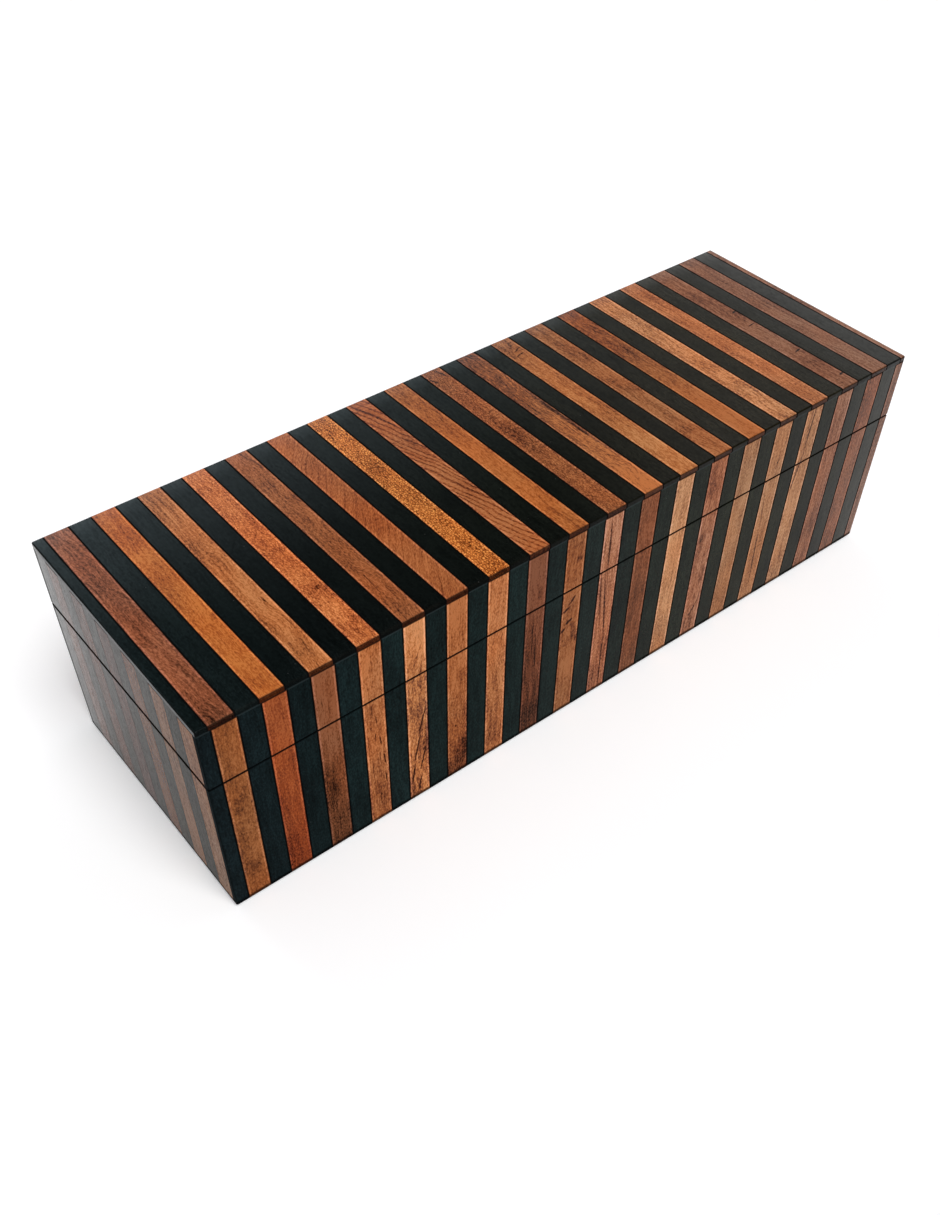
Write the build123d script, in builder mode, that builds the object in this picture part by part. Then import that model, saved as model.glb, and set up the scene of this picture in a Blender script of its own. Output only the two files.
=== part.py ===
from build123d import *
from math import radians, tan
import os

os.makedirs("parts", exist_ok=True)

# A long keepsake box covered in dark and brown wood strips, with a lid on two brass stop hinges.
# Millimetres. X runs along the box, -Y is its front, Z is up, and the origin is the middle of the underside.

# The closed box, without the hinge barrels behind it
box_length = 300.0
box_depth = 100.0
box_height = 85.0
lid_height = 25.0
seam_gap = 0.4
edge_round = 0.6
seam_chamfer = 0.25

# The striped skin: strips lie edge to edge, and the first one on each long face is cut narrow
strip_thickness = 2.0
dark_width = 8.0
top_brown_width = 8.3
side_brown_width = 8.15
top_first_dark = 4.0
side_first_dark = 4.8

# The carcass under the strips
wall_thickness = 7.0
corner_rabbet = 3.5
panel_rabbet = 3.0
bottom_thickness = 4.0
lid_panel_thickness = 4.0

# Felt under the box, and the lining inside it
underside_thickness = 0.8
underside_inset = 0.6
pad_thickness = 1.5
lining_thickness = 1.2
lining_below_rim = 2.0
lining_gap = 0.1

# Two stop hinges, let into the back
hinge_inset = 55.0
hinge_width = 26.0
middle_knuckle = 9.0
leaf_thickness = 1.4
leaf_gap = 0.2
leaf_margin = 1.0
pocket_gap = 0.1
barrel_radius = 2.2
barrel_gap = 0.3
knuckle_gap = 0.15
pin_radius = 1.0
pin_gap = 0.04
pin_head_radius = 1.5
pin_head_height = 0.7
stop_angle = 95.0
stop_reach = 5.2
stop_thickness = 1.2
stop_gap = 0.05

# Countersunk brass screws, two in each leaf
screw_radius = 1.1
screw_head_radius = 1.9
screw_length = 8.0
screw_point = 1.6
screw_spacing = 16.0
screw_gap = 0.05
screw_slot_width = 0.5
screw_slot_depth = 0.4
countersink_angle = 90

# Heights of the two shells
lid_bottom = box_height - lid_height
base_top = lid_bottom - seam_gap
skin_top = box_height - strip_thickness

# Inner faces of the carcass, measured from the middle of the box
inner_x = box_length / 2 - strip_thickness - wall_thickness
inner_y = box_depth / 2 - strip_thickness - wall_thickness

# The hinge axis stands behind the back face, level with the seam
hinge_y = box_depth / 2 + barrel_gap + barrel_radius
hinge_z = (base_top + lid_bottom) / 2
hinge_places = (-box_length / 2 + hinge_inset, box_length / 2 - hinge_inset)
leaf_edge = inner_y + leaf_margin
screw_y = inner_y + wall_thickness / 2
screw_places = [(x + s * screw_spacing / 2, screw_y) for x in hinge_places for s in (-1, 1)]


def save(piece, name):
    """Labels a finished piece and writes it as the node of that name."""
    piece.label = name
    export_step(piece, f"parts/{name}.step")


def strips_along(run, first_dark, brown_width):
    """Start and end of each strip along a face, dark ones and brown ones apart.

    first_dark is the width of a narrow dark first strip, or 0 where a whole brown one comes first.
    A last strip narrower than it is thick is left out, and the one before it is cut wider."""
    edges = {"dark": [], "brown": []}
    widths = {"dark": dark_width, "brown": brown_width}
    colour = "dark" if first_dark else "brown"
    start, end = 0.0, first_dark or brown_width
    while start < run:
        if run - end < strip_thickness:
            end = run
        edges[colour].append((start, end))
        colour = "brown" if colour == "dark" else "dark"
        start, end = end, end + widths[colour]
    return edges


# The rounded outer form of each shell, which trims every strip on it
with BuildPart() as lid_form:
    with BuildSketch(Plane.XY.offset(lid_bottom)):
        Rectangle(box_length, box_depth)
    extrude(amount=lid_height)
    fillet(lid_form.edges().filter_by(Axis.Z), radius=edge_round)
    fillet(lid_form.faces().sort_by(Axis.Z)[-1].edges(), radius=edge_round)
    chamfer(lid_form.faces().sort_by(Axis.Z)[0].edges(), length=seam_chamfer)

with BuildPart() as base_form:
    with BuildSketch(Plane.XY.offset(underside_thickness)):
        Rectangle(box_length, box_depth)
    extrude(amount=base_top - underside_thickness)
    fillet(base_form.edges().filter_by(Axis.Z), radius=edge_round)
    fillet(base_form.faces().sort_by(Axis.Z)[0].edges(), radius=edge_round)
    chamfer(base_form.faces().sort_by(Axis.Z)[-1].edges(), length=seam_chamfer)

# The pockets that let the hinge leaves into the back, one pair for each shell
pocket_width = hinge_width + 2 * pocket_gap
pocket_depth = box_depth / 2 - leaf_edge + pocket_gap
pocket_middle = box_depth / 2 - pocket_depth / 2
base_pocket_floor = hinge_z - leaf_gap / 2 - leaf_thickness
lid_pocket_floor = hinge_z + leaf_gap / 2 + leaf_thickness

with BuildPart() as base_pockets:
    with BuildSketch(Plane.XY.offset(base_pocket_floor)):
        with Locations(*[(x, pocket_middle) for x in hinge_places]):
            Rectangle(pocket_width, pocket_depth)
    extrude(amount=base_top - base_pocket_floor)

with BuildPart() as lid_pockets:
    with BuildSketch(Plane.XY.offset(lid_bottom)):
        with Locations(*[(x, pocket_middle) for x in hinge_places]):
            Rectangle(pocket_width, pocket_depth)
    extrude(amount=lid_pocket_floor - lid_bottom)

# Top strips, across the whole lid
top_edges = strips_along(box_length, top_first_dark, top_brown_width)
for colour, edges in top_edges.items():
    with BuildPart() as top_strips:
        with BuildSketch(Plane.XY.offset(skin_top)):
            for start, end in edges:
                with Locations(((start + end - box_length) / 2, 0)):
                    Rectangle(end - start, box_depth)
        extrude(amount=strip_thickness)
        add(lid_form.part, mode=Mode.INTERSECT)
    save(top_strips.part, f"top_{colour}_strips")

# Side strips: those of the long faces cover the ends of the short faces' own
long_edges = strips_along(box_length, side_first_dark, side_brown_width)
short_edges = strips_along(box_depth - 2 * strip_thickness, 0, side_brown_width)
long_offset = (box_depth - strip_thickness) / 2
short_offset = (box_length - strip_thickness) / 2
short_start = strip_thickness - box_depth / 2


def long_side(y):
    """Centre and size of each strip of a long face, seen from above."""
    return {
        colour: [((s + e - box_length) / 2, y, e - s, strip_thickness) for s, e in edges]
        for colour, edges in long_edges.items()
    }


def short_side(x):
    """Centre and size of each strip of a short face, seen from above."""
    return {
        colour: [(x, short_start + (s + e) / 2, strip_thickness, e - s) for s, e in edges]
        for colour, edges in short_edges.items()
    }


sides = {
    "front": long_side(-long_offset),
    "back": long_side(long_offset),
    "left": short_side(-short_offset),
    "right": short_side(short_offset),
}
shells = {
    "base": (underside_thickness, base_top, base_form, base_pockets),
    "lid": (lid_bottom, skin_top, lid_form, lid_pockets),
}
for shell, (low, high, form, pockets) in shells.items():
    for side, colours in sides.items():
        for colour, places in colours.items():
            with BuildPart() as side_strips:
                with BuildSketch(Plane.XY.offset(low)):
                    for x, y, along, across in places:
                        with Locations((x, y)):
                            Rectangle(along, across)
                extrude(amount=high - low)
                add(form.part, mode=Mode.INTERSECT)
                if side == "back":
                    add(pockets.part, mode=Mode.SUBTRACT)
            save(side_strips.part, f"{shell}_{side}_{colour}_strips")

# Panels: the base's bottom and the lid's top, each let into a rabbet round its walls
panel_length = 2 * (inner_x + panel_rabbet)
panel_width = 2 * (inner_y + panel_rabbet)

with BuildPart() as base_bottom_panel:
    with BuildSketch(Plane.XY.offset(underside_thickness)):
        Rectangle(panel_length, panel_width)
    extrude(amount=bottom_thickness)
save(base_bottom_panel.part, "base_bottom_panel")

with BuildPart() as lid_top_panel:
    with BuildSketch(Plane.XY.offset(skin_top - lid_panel_thickness)):
        Rectangle(panel_length, panel_width)
    extrude(amount=lid_panel_thickness)
save(lid_top_panel.part, "lid_top_panel")

# Walls: the short ones fit into rabbets at the ends of the long ones
pilot_radius = screw_radius + screw_gap
pilot_depth = screw_length + screw_gap
shell_walls = {
    "base": (underside_thickness, base_top, base_bottom_panel, base_pockets, base_top, -1),
    "lid": (lid_bottom, skin_top, lid_top_panel, lid_pockets, lid_bottom, 1),
}
for shell, (low, high, panel, pockets, rim, into) in shell_walls.items():
    for side, toward in (("front", -1), ("back", 1)):
        with BuildPart() as long_wall:
            with BuildSketch(Plane.XY.offset(low)):
                with Locations((0, toward * (inner_y + wall_thickness / 2))):
                    Rectangle(2 * (inner_x + wall_thickness), wall_thickness)
                with Locations(
                    (-inner_x - wall_thickness / 2, toward * (inner_y + corner_rabbet / 2)),
                    (inner_x + wall_thickness / 2, toward * (inner_y + corner_rabbet / 2)),
                ):
                    Rectangle(wall_thickness, corner_rabbet, mode=Mode.SUBTRACT)
            extrude(amount=high - low)
            add(panel.part, mode=Mode.SUBTRACT)
            if side == "back":
                add(pockets.part, mode=Mode.SUBTRACT)
                with BuildSketch(Plane.XY.offset(rim)):
                    with Locations(*screw_places):
                        Circle(pilot_radius)
                extrude(amount=into * pilot_depth, mode=Mode.SUBTRACT)
        save(long_wall.part, f"{shell}_{side}_wall")

    for side, toward in (("left", -1), ("right", 1)):
        with BuildPart() as short_wall:
            with BuildSketch(Plane.XY.offset(low)):
                with Locations((toward * (inner_x + wall_thickness / 2), 0)):
                    Rectangle(wall_thickness, 2 * (inner_y + corner_rabbet))
            extrude(amount=high - low)
            add(panel.part, mode=Mode.SUBTRACT)
        save(short_wall.part, f"{shell}_{side}_wall")

# Felt glued under the base, a little in from its edges
with BuildPart() as underside_felt:
    with BuildSketch():
        Rectangle(box_length - 2 * underside_inset, box_depth - 2 * underside_inset)
    extrude(amount=underside_thickness)
save(underside_felt.part, "underside_felt")

# Pads on the floor of the base and under the lid's panel
floor_top = underside_thickness + bottom_thickness
ceiling = skin_top - lid_panel_thickness

with BuildPart() as base_floor_pad:
    with BuildSketch(Plane.XY.offset(floor_top)):
        Rectangle(2 * (inner_x - lining_gap), 2 * (inner_y - lining_gap))
    extrude(amount=pad_thickness)
save(base_floor_pad.part, "base_floor_pad")

with BuildPart() as lid_pad:
    with BuildSketch(Plane.XY.offset(ceiling)):
        Rectangle(2 * (inner_x - lining_gap), 2 * (inner_y - lining_gap))
    extrude(amount=-pad_thickness)
save(lid_pad.part, "lid_pad")

# Wall linings stop short of the rims, and the short ones stand between the long ones
lining_heights = {
    "base": (floor_top + pad_thickness, base_top - lining_below_rim),
    "lid": (lid_bottom + lining_below_rim, ceiling - pad_thickness),
}
for shell, (low, high) in lining_heights.items():
    for side, toward in (("front", -1), ("back", 1)):
        with BuildPart() as long_lining:
            with BuildSketch(Plane.XY.offset(low)):
                with Locations((0, toward * (inner_y - lining_thickness / 2))):
                    Rectangle(2 * (inner_x - lining_gap), lining_thickness)
            extrude(amount=high - low)
        save(long_lining.part, f"{shell}_{side}_lining")

    for side, toward in (("left", -1), ("right", 1)):
        with BuildPart() as short_lining:
            with BuildSketch(Plane.XY.offset(low)):
                with Locations((toward * (inner_x - lining_thickness / 2), 0)):
                    Rectangle(lining_thickness, 2 * (inner_y - lining_thickness - lining_gap))
            extrude(amount=high - low)
        save(short_lining.part, f"{shell}_{side}_lining")

# Hinge leaves: a plate, its knuckles, and a stop behind them that meets the other leaf's
outer_knuckle = (hinge_width - middle_knuckle) / 2
room_radius = barrel_radius + knuckle_gap
axis_point = (hinge_y, hinge_z)


def hinge_leaf(middle, up, room):
    """One leaf about a hinge's middle. up is 1 for the lid's and -1 for the base's.

    room lists the stretches along the barrel, as centre and length, that the other leaf's knuckles fill."""
    leaf_middle = hinge_z + up * (leaf_gap + leaf_thickness) / 2
    meeting_face = Plane((middle, 0, hinge_z + up * leaf_gap / 2), x_dir=(1, 0, 0), z_dir=(0, 0, -up))
    with BuildPart() as leaf:
        with BuildSketch(Plane.YZ.offset(middle - hinge_width / 2)):
            with Locations(((leaf_edge + hinge_y) / 2, leaf_middle)):
                Rectangle(hinge_y - leaf_edge, leaf_thickness)
            with Locations(axis_point):
                Circle(barrel_radius)
                with Locations(Location((0, 0, 0), (0, 0, up * stop_angle / 2))):
                    with Locations((stop_reach / 2, up * (stop_gap + stop_thickness / 2))):
                        Rectangle(stop_reach, stop_thickness)
        extrude(amount=hinge_width)
        for centre, length in room:
            with BuildSketch(Plane.YZ.offset(middle + centre - length / 2)):
                with Locations(axis_point):
                    Circle(room_radius)
            extrude(amount=length, mode=Mode.SUBTRACT)
        with BuildSketch(Plane.YZ.offset(middle - hinge_width / 2)):
            with Locations(axis_point):
                Circle(pin_radius + pin_gap)
        extrude(amount=hinge_width, mode=Mode.SUBTRACT)
        with Locations(meeting_face):
            with Locations((-screw_spacing / 2, -up * screw_y), (screw_spacing / 2, -up * screw_y)):
                CounterSinkHole(
                    radius=pilot_radius,
                    counter_sink_radius=screw_head_radius + screw_gap,
                    depth=leaf_thickness,
                    counter_sink_angle=countersink_angle,
                )
    return leaf.part


middle_room = [(0, middle_knuckle + knuckle_gap)]
outer_centre = (middle_knuckle + outer_knuckle) / 2
outer_room = [(-outer_centre, outer_knuckle + knuckle_gap), (outer_centre, outer_knuckle + knuckle_gap)]
pin_length = hinge_width + 2 * knuckle_gap

for side, middle in zip(("left", "right"), hinge_places):
    save(hinge_leaf(middle, -1, middle_room), f"{side}_hinge_base_leaf")
    save(hinge_leaf(middle, 1, outer_room), f"{side}_hinge_lid_leaf")

    with BuildPart() as hinge_pin:
        with BuildSketch(Plane.YZ.offset(middle - pin_length / 2)):
            with Locations(axis_point):
                Circle(pin_radius)
        extrude(amount=pin_length)
        for end, outward in ((middle - pin_length / 2, -1), (middle + pin_length / 2, 1)):
            with BuildSketch(Plane.YZ.offset(end)):
                with Locations(axis_point):
                    Circle(pin_head_radius)
            extrude(amount=outward * pin_head_height)
        fillet(
            hinge_pin.faces().filter_by(Axis.X).sort_by(Axis.X)[0].edges()
            + hinge_pin.faces().filter_by(Axis.X).sort_by(Axis.X)[-1].edges(),
            radius=pin_head_height / 2,
        )
    save(hinge_pin.part, f"{side}_hinge_pin")

# Screws, flush with the leaves' meeting faces: the base's point down, and the lid's mirror them
head_face = hinge_z - leaf_gap / 2
head_height = (screw_head_radius - screw_radius) / tan(radians(countersink_angle / 2))

with BuildPart() as base_hinge_screws:
    for x, y in screw_places:
        with BuildSketch(Plane.XZ.offset(-y)):
            with BuildLine():
                Polyline(
                    (x, head_face),
                    (x + screw_head_radius, head_face),
                    (x + screw_radius, head_face - head_height),
                    (x + screw_radius, head_face - screw_length + screw_point),
                    (x, head_face - screw_length),
                    close=True,
                )
            make_face()
        revolve(axis=Axis((x, y, 0), (0, 0, 1)))
    with BuildSketch(Plane.XY.offset(head_face)):
        with Locations(*screw_places):
            Rectangle(2 * screw_head_radius, screw_slot_width)
    extrude(amount=-screw_slot_depth, mode=Mode.SUBTRACT)
save(base_hinge_screws.part, "base_hinge_screws")

with BuildPart() as lid_hinge_screws:
    add(base_hinge_screws.part)
    mirror(about=Plane.XY.offset(hinge_z), mode=Mode.REPLACE)
save(lid_hinge_screws.part, "lid_hinge_screws")
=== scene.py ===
"""Looks of a long keepsake box covered in dark and brown wood strips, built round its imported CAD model.

The strips, the carcass and the hinges keep their CAD meshes and get their finishes here. The velvet
lining and the felt under the base are modelled here as soft pieces, in place of their plain solids.
"""

import logging
import math
from collections.abc import Sequence
from dataclasses import dataclass
from enum import Enum
from functools import cache, partialmethod, reduce

import bmesh
import bpy
from mathutils import Matrix, Vector, noise


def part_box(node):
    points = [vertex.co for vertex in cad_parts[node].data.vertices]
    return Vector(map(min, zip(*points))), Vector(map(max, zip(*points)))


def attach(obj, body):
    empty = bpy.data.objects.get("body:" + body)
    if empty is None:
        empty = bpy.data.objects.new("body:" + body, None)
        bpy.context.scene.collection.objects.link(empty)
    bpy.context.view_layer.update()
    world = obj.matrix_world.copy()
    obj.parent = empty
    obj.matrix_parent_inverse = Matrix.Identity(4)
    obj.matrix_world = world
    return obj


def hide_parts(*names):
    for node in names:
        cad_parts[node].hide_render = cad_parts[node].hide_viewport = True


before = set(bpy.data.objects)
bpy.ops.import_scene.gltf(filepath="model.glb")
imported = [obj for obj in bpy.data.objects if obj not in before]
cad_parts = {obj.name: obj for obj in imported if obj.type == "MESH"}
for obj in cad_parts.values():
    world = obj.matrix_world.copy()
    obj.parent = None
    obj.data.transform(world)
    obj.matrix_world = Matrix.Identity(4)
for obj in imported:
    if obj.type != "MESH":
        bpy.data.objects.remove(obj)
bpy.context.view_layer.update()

log = logging.getLogger("keepsake_box")

Colour = tuple[float, float, float]
Linear = tuple[float, float, float, float]
Socket = bpy.types.NodeSocket
Sockets = dict[str, Socket]
Given = Socket | float | Sequence[float]

TO_MM = 1000.0
MM = 0.001
ORIGIN = (0.0, 0.0, 0.0)

# The box in millimetres: half its sides, and the heights of the saw cut and of the top strips' underside.
HALF_LENGTH = 150.0
HALF_DEPTH = 50.0
HALF_HEIGHT = 42.5
SEAM_HEIGHT = 59.8
TOP_LAYER_HEIGHT = 82.9

# The heights in millimetres between which the painted shadow along the strips' feet, next to the floor,
# fades out.
FOOT_SHADE = (2.3, 2.8)

# What a wood's colour is multiplied by: in its darkest grain, pores and sawn ends, on the strips' rims
# for their painted highlight, and where the grain makes it warmer or cooler.
DEEP_TINT = (0.16, 0.14, 0.13, 1.0)
PORE_TINT = (0.5, 0.46, 0.44, 1.0)
END_TINT = (0.17, 0.15, 0.15, 1.0)
RIM_HIGHLIGHT_TINT = (1.95, 2.2, 2.9, 1.0)
WARM_TINT = (1.05, 0.94, 0.82, 1.0)
COOL_TINT = (0.98, 1.03, 1.06, 1.0)


def linear(colour: Colour, factor: float = 1.0) -> Linear:
    """Turn a display colour into the linear one that shaders use.

    Args:
        colour: Red, green and blue from 0 to 255.
        factor: How much lighter or darker the linear colour is made.

    Returns:
        Linear red, green and blue, and an alpha of 1.
    """
    shares = [channel / 255.0 for channel in colour]
    parts = [s / 12.92 if s <= 0.04045 else ((s + 0.055) / 1.055) ** 2.4 for s in shares]
    return (parts[0] * factor, parts[1] * factor, parts[2] * factor, 1.0)


def grey(level: float) -> Linear:
    """Give the linear grey of one level."""
    return (level, level, level, 1.0)


def direction(azimuth: float, elevation: float) -> Vector:
    """Point from the box to a place round it.

    Args:
        azimuth: Its side in degrees: 0 in front of the box and 90 at its right.
        elevation: Its height above the horizon in degrees.

    Returns:
        The direction, of length 1.
    """
    around, up = math.radians(azimuth), math.radians(elevation)
    return Vector((math.sin(around) * math.cos(up), -math.cos(around) * math.cos(up), math.sin(up)))


def add_object(name: str, data: bpy.types.ID) -> bpy.types.Object:
    """Put a new object into the scene.

    Args:
        name: Its name.
        data: Its mesh, lamp or camera.

    Returns:
        The object.
    """
    made = bpy.data.objects.new(name, data)
    bpy.context.scene.collection.objects.link(made)
    return made


def add_mesh(name: str, mesh: bmesh.types.BMesh, material: bpy.types.Material) -> bpy.types.Object:
    """Put a new mesh into the scene and free its working copy.

    Args:
        name: The object's name.
        mesh: The working copy.
        material: Its only material.

    Returns:
        The object.
    """
    data = bpy.data.meshes.new(name)
    mesh.to_mesh(data)
    mesh.free()
    data.materials.append(material)
    return add_object(name, data)


class Wiring:
    """Adds nodes to one node tree and joins them up."""

    def __init__(self, tree: bpy.types.NodeTree) -> None:
        """Keep the tree that the nodes go into."""
        self.tree = tree

    def node(
        self, kind: str, given: dict[str | int, Given] | None = None, **settings: object
    ) -> bpy.types.Node:
        """Add one node.

        Args:
            kind: The node's type name.
            given: What goes into its inputs, by their names or numbers.
            **settings: Its plain settings, by name.

        Returns:
            The new node.
        """
        made = self.tree.nodes.new(kind)
        for name, value in settings.items():
            setattr(made, name, value)
        for key, value in (given or {}).items():
            self.feed(made.inputs[key], value)
        return made

    def feed(self, socket: Socket, value: Given) -> None:
        """Join an input to an output, or write a plain value into it.

        Args:
            socket: The input.
            value: The output that feeds it, or its value.
        """
        if isinstance(value, Socket):
            self.tree.links.new(value, socket)
        else:
            socket.default_value = value

    def math(self, operation: str, *values: Given, clamp: bool = False) -> Socket:
        """Work out a number from others."""
        given = dict(enumerate(values))
        return self.node("ShaderNodeMath", given, operation=operation, use_clamp=clamp).outputs[0]

    times = partialmethod(math, "MULTIPLY")
    muladd = partialmethod(math, "MULTIPLY_ADD")
    plus = partialmethod(math, "ADD")
    minus = partialmethod(math, "SUBTRACT")

    def apart(self, first: Given, second: Given) -> Socket:
        """Give how far apart two numbers are."""
        return self.math("ABSOLUTE", self.minus(first, second))

    def swing(self, value: Given, strength: Given) -> Socket:
        """Turn a value about 0.5 into one about 0."""
        return self.times(self.minus(value, 0.5), strength)

    def greatest(self, *values: Given) -> Socket:
        """Give the greatest of some numbers."""
        return reduce(lambda first, second: self.math("MAXIMUM", first, second), values)

    def vector(self, operation: str, *values: Given) -> Socket:
        """Work out a vector from others."""
        return self.node("ShaderNodeVectorMath", dict(enumerate(values)), operation=operation).outputs[0]

    def length(self, vector: Given) -> Socket:
        """Give a vector's length."""
        return self.node("ShaderNodeVectorMath", {0: vector}, operation="LENGTH").outputs["Value"]

    def split(self, vector: Given, axes: str = "XYZ") -> list[Socket]:
        """Take a vector apart into its numbers along some axes, in their order."""
        made = self.node("ShaderNodeSeparateXYZ", {0: vector})
        return [made.outputs[axis] for axis in axes]

    def join(self, x: Given, y: Given, z: Given) -> Socket:
        """Put three numbers together as a vector."""
        return self.node("ShaderNodeCombineXYZ", {0: x, 1: y, 2: z}).outputs[0]

    def mix(self, share: Given, first: Given, second: Given, mode: str = "MIX") -> Socket:
        """Blend two colours: the first at share 0, the second at share 1."""
        given = {0: share, 6: first, 7: second}
        return self.node("ShaderNodeMix", given, data_type="RGBA", blend_type=mode).outputs[2]

    def tinted(self, colour: Given, tint: Given) -> Socket:
        """Multiply two colours."""
        return self.mix(1.0, colour, tint, "MULTIPLY")

    def stained(self, below: Given, mask: Given, colour: Colour, share: float) -> Socket:
        """Lay a display colour over another colour, as strongly as its share, where the mask is."""
        return self.mix(self.times(mask, share), below, linear(colour))

    def fade(self, value: Given, low: Given, high: Given, start: float = 0.0, end: float = 1.0) -> Socket:
        """Run smoothly from the start's value to the end's, while a number goes from low to high."""
        given = dict(enumerate((value, low, high, start, end)))
        return self.node("ShaderNodeMapRange", given, interpolation_type="SMOOTHSTEP").outputs[0]

    def noise(
        self,
        place: Given,
        scale: Given,
        detail: float = 2.0,
        roughness: float = 0.5,
        distortion: float = 0.0,
    ) -> Socket:
        """Make a soft random value over the surface.

        Args:
            place: The place in millimetres.
            scale: How many blotches there are to a millimetre along each axis.
            detail: How many finer layers are added.
            roughness: How strong the finer layers are.
            distortion: How much the blotches are drawn into curls.

        Returns:
            The value, about 0.5 in the mean.
        """
        given = {"Scale": 1.0, "Detail": detail, "Roughness": roughness, "Distortion": distortion}
        scaled = self.vector("MULTIPLY", place, scale)
        return self.node("ShaderNodeTexNoise", {"Vector": scaled, **given}).outputs[0]

    def ramp(self, share: Given, stops: Sequence[Sequence[float]], blended: bool = False) -> Socket:
        """Pick one of several colours by a share from 0 to 1.

        Args:
            share: How far along the colours.
            stops: The colours in order.
            blended: Whether each colour runs into the next, or keeps to its own equal share.

        Returns:
            The colour.
        """
        made = self.node("ShaderNodeValToRGB", {0: share})
        band = made.color_ramp
        band.interpolation = "LINEAR" if blended else "CONSTANT"
        steps = len(stops) - 1 if blended else len(stops)
        while len(band.elements) < len(stops):
            band.elements.new(1.0)
        for number, colour in enumerate(stops):
            band.elements[number].position = number / steps
            band.elements[number].color = (*colour[:3], 1.0)
        return made.outputs[0]

    def use(self, group: bpy.types.NodeTree, **given: Given) -> Sockets:
        """Place a shared effect.

        Args:
            group: The effect's node group.
            **given: Its inputs by name.

        Returns:
            Its outputs by name.
        """
        made = self.node("ShaderNodeGroup", given, node_tree=group)
        return {socket.name: socket for socket in made.outputs}

    def place_in_mm(self) -> Socket:
        """Give the place on the piece in millimetres, in the box's own frame."""
        coordinates = self.node("ShaderNodeTexCoord")
        return self.vector("MULTIPLY", coordinates.outputs["Object"], (TO_MM,) * 3)

    def facing(self, axis: str) -> Socket:
        """Give how squarely the surface faces along one of the box's axes, either way."""
        coordinates = self.node("ShaderNodeTexCoord")
        return self.math("ABSOLUTE", self.split(coordinates.outputs["Normal"], axis)[0])


class Effect(Wiring):
    """A shared effect being made: a node group that the materials place."""

    def __init__(self, name: str, **given: Given) -> None:
        """Start the group.

        Args:
            name: The group's name.
            **given: Its inputs with their usual values.
        """
        super().__init__(bpy.data.node_groups.new(name, "ShaderNodeTree"))
        for label, usual in given.items():
            kind = "Float" if isinstance(usual, float) else {3: "Vector", 4: "Color"}[len(usual)]
            socket = self.tree.interface.new_socket(label, in_out="INPUT", socket_type=f"NodeSocket{kind}")
            socket.default_value = usual
        self.given = self.node("NodeGroupInput").outputs

    def giving(self, **results: Socket) -> bpy.types.NodeTree:
        """Finish the group.

        Args:
            **results: Its outputs by name.

        Returns:
            The group.
        """
        for label, value in results.items():
            kind = {"VALUE": "Float", "VECTOR": "Vector", "RGBA": "Color"}[value.type]
            self.tree.interface.new_socket(label, in_out="OUTPUT", socket_type=f"NodeSocket{kind}")
        self.node("NodeGroupOutput", results)
        return self.tree


@cache
def strip_place() -> bpy.types.NodeTree:
    """Build the effect that finds the strip under a point and gives each strip wood of its own.

    Returns:
        The group.
    """
    w = Effect("strip_place", Across=0.0, Along=0.0, Depth=0.0, Start=0.0, Pitch=16.0, Seed=0.0)
    given = w.given
    from_start = w.minus(given["Across"], given["Start"])
    number = w.math("FLOOR", w.math("DIVIDE", from_start, given["Pitch"]))
    edge = w.minus(from_start, w.times(number, given["Pitch"]))
    own = w.plus(w.times(number, 1.37), given["Seed"])
    chance = w.node("ShaderNodeTexWhiteNoise", {"W": own}, noise_dimensions="1D")
    own_place = w.vector("MULTIPLY", chance.outputs["Color"], (400.0, 900.0, 400.0))
    here = w.join(edge, given["Along"], given["Depth"])
    place = w.vector("ADD", here, own_place)
    return w.giving(Number=number, Edge=edge, Place=place, Chance=chance.outputs["Color"])


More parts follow.
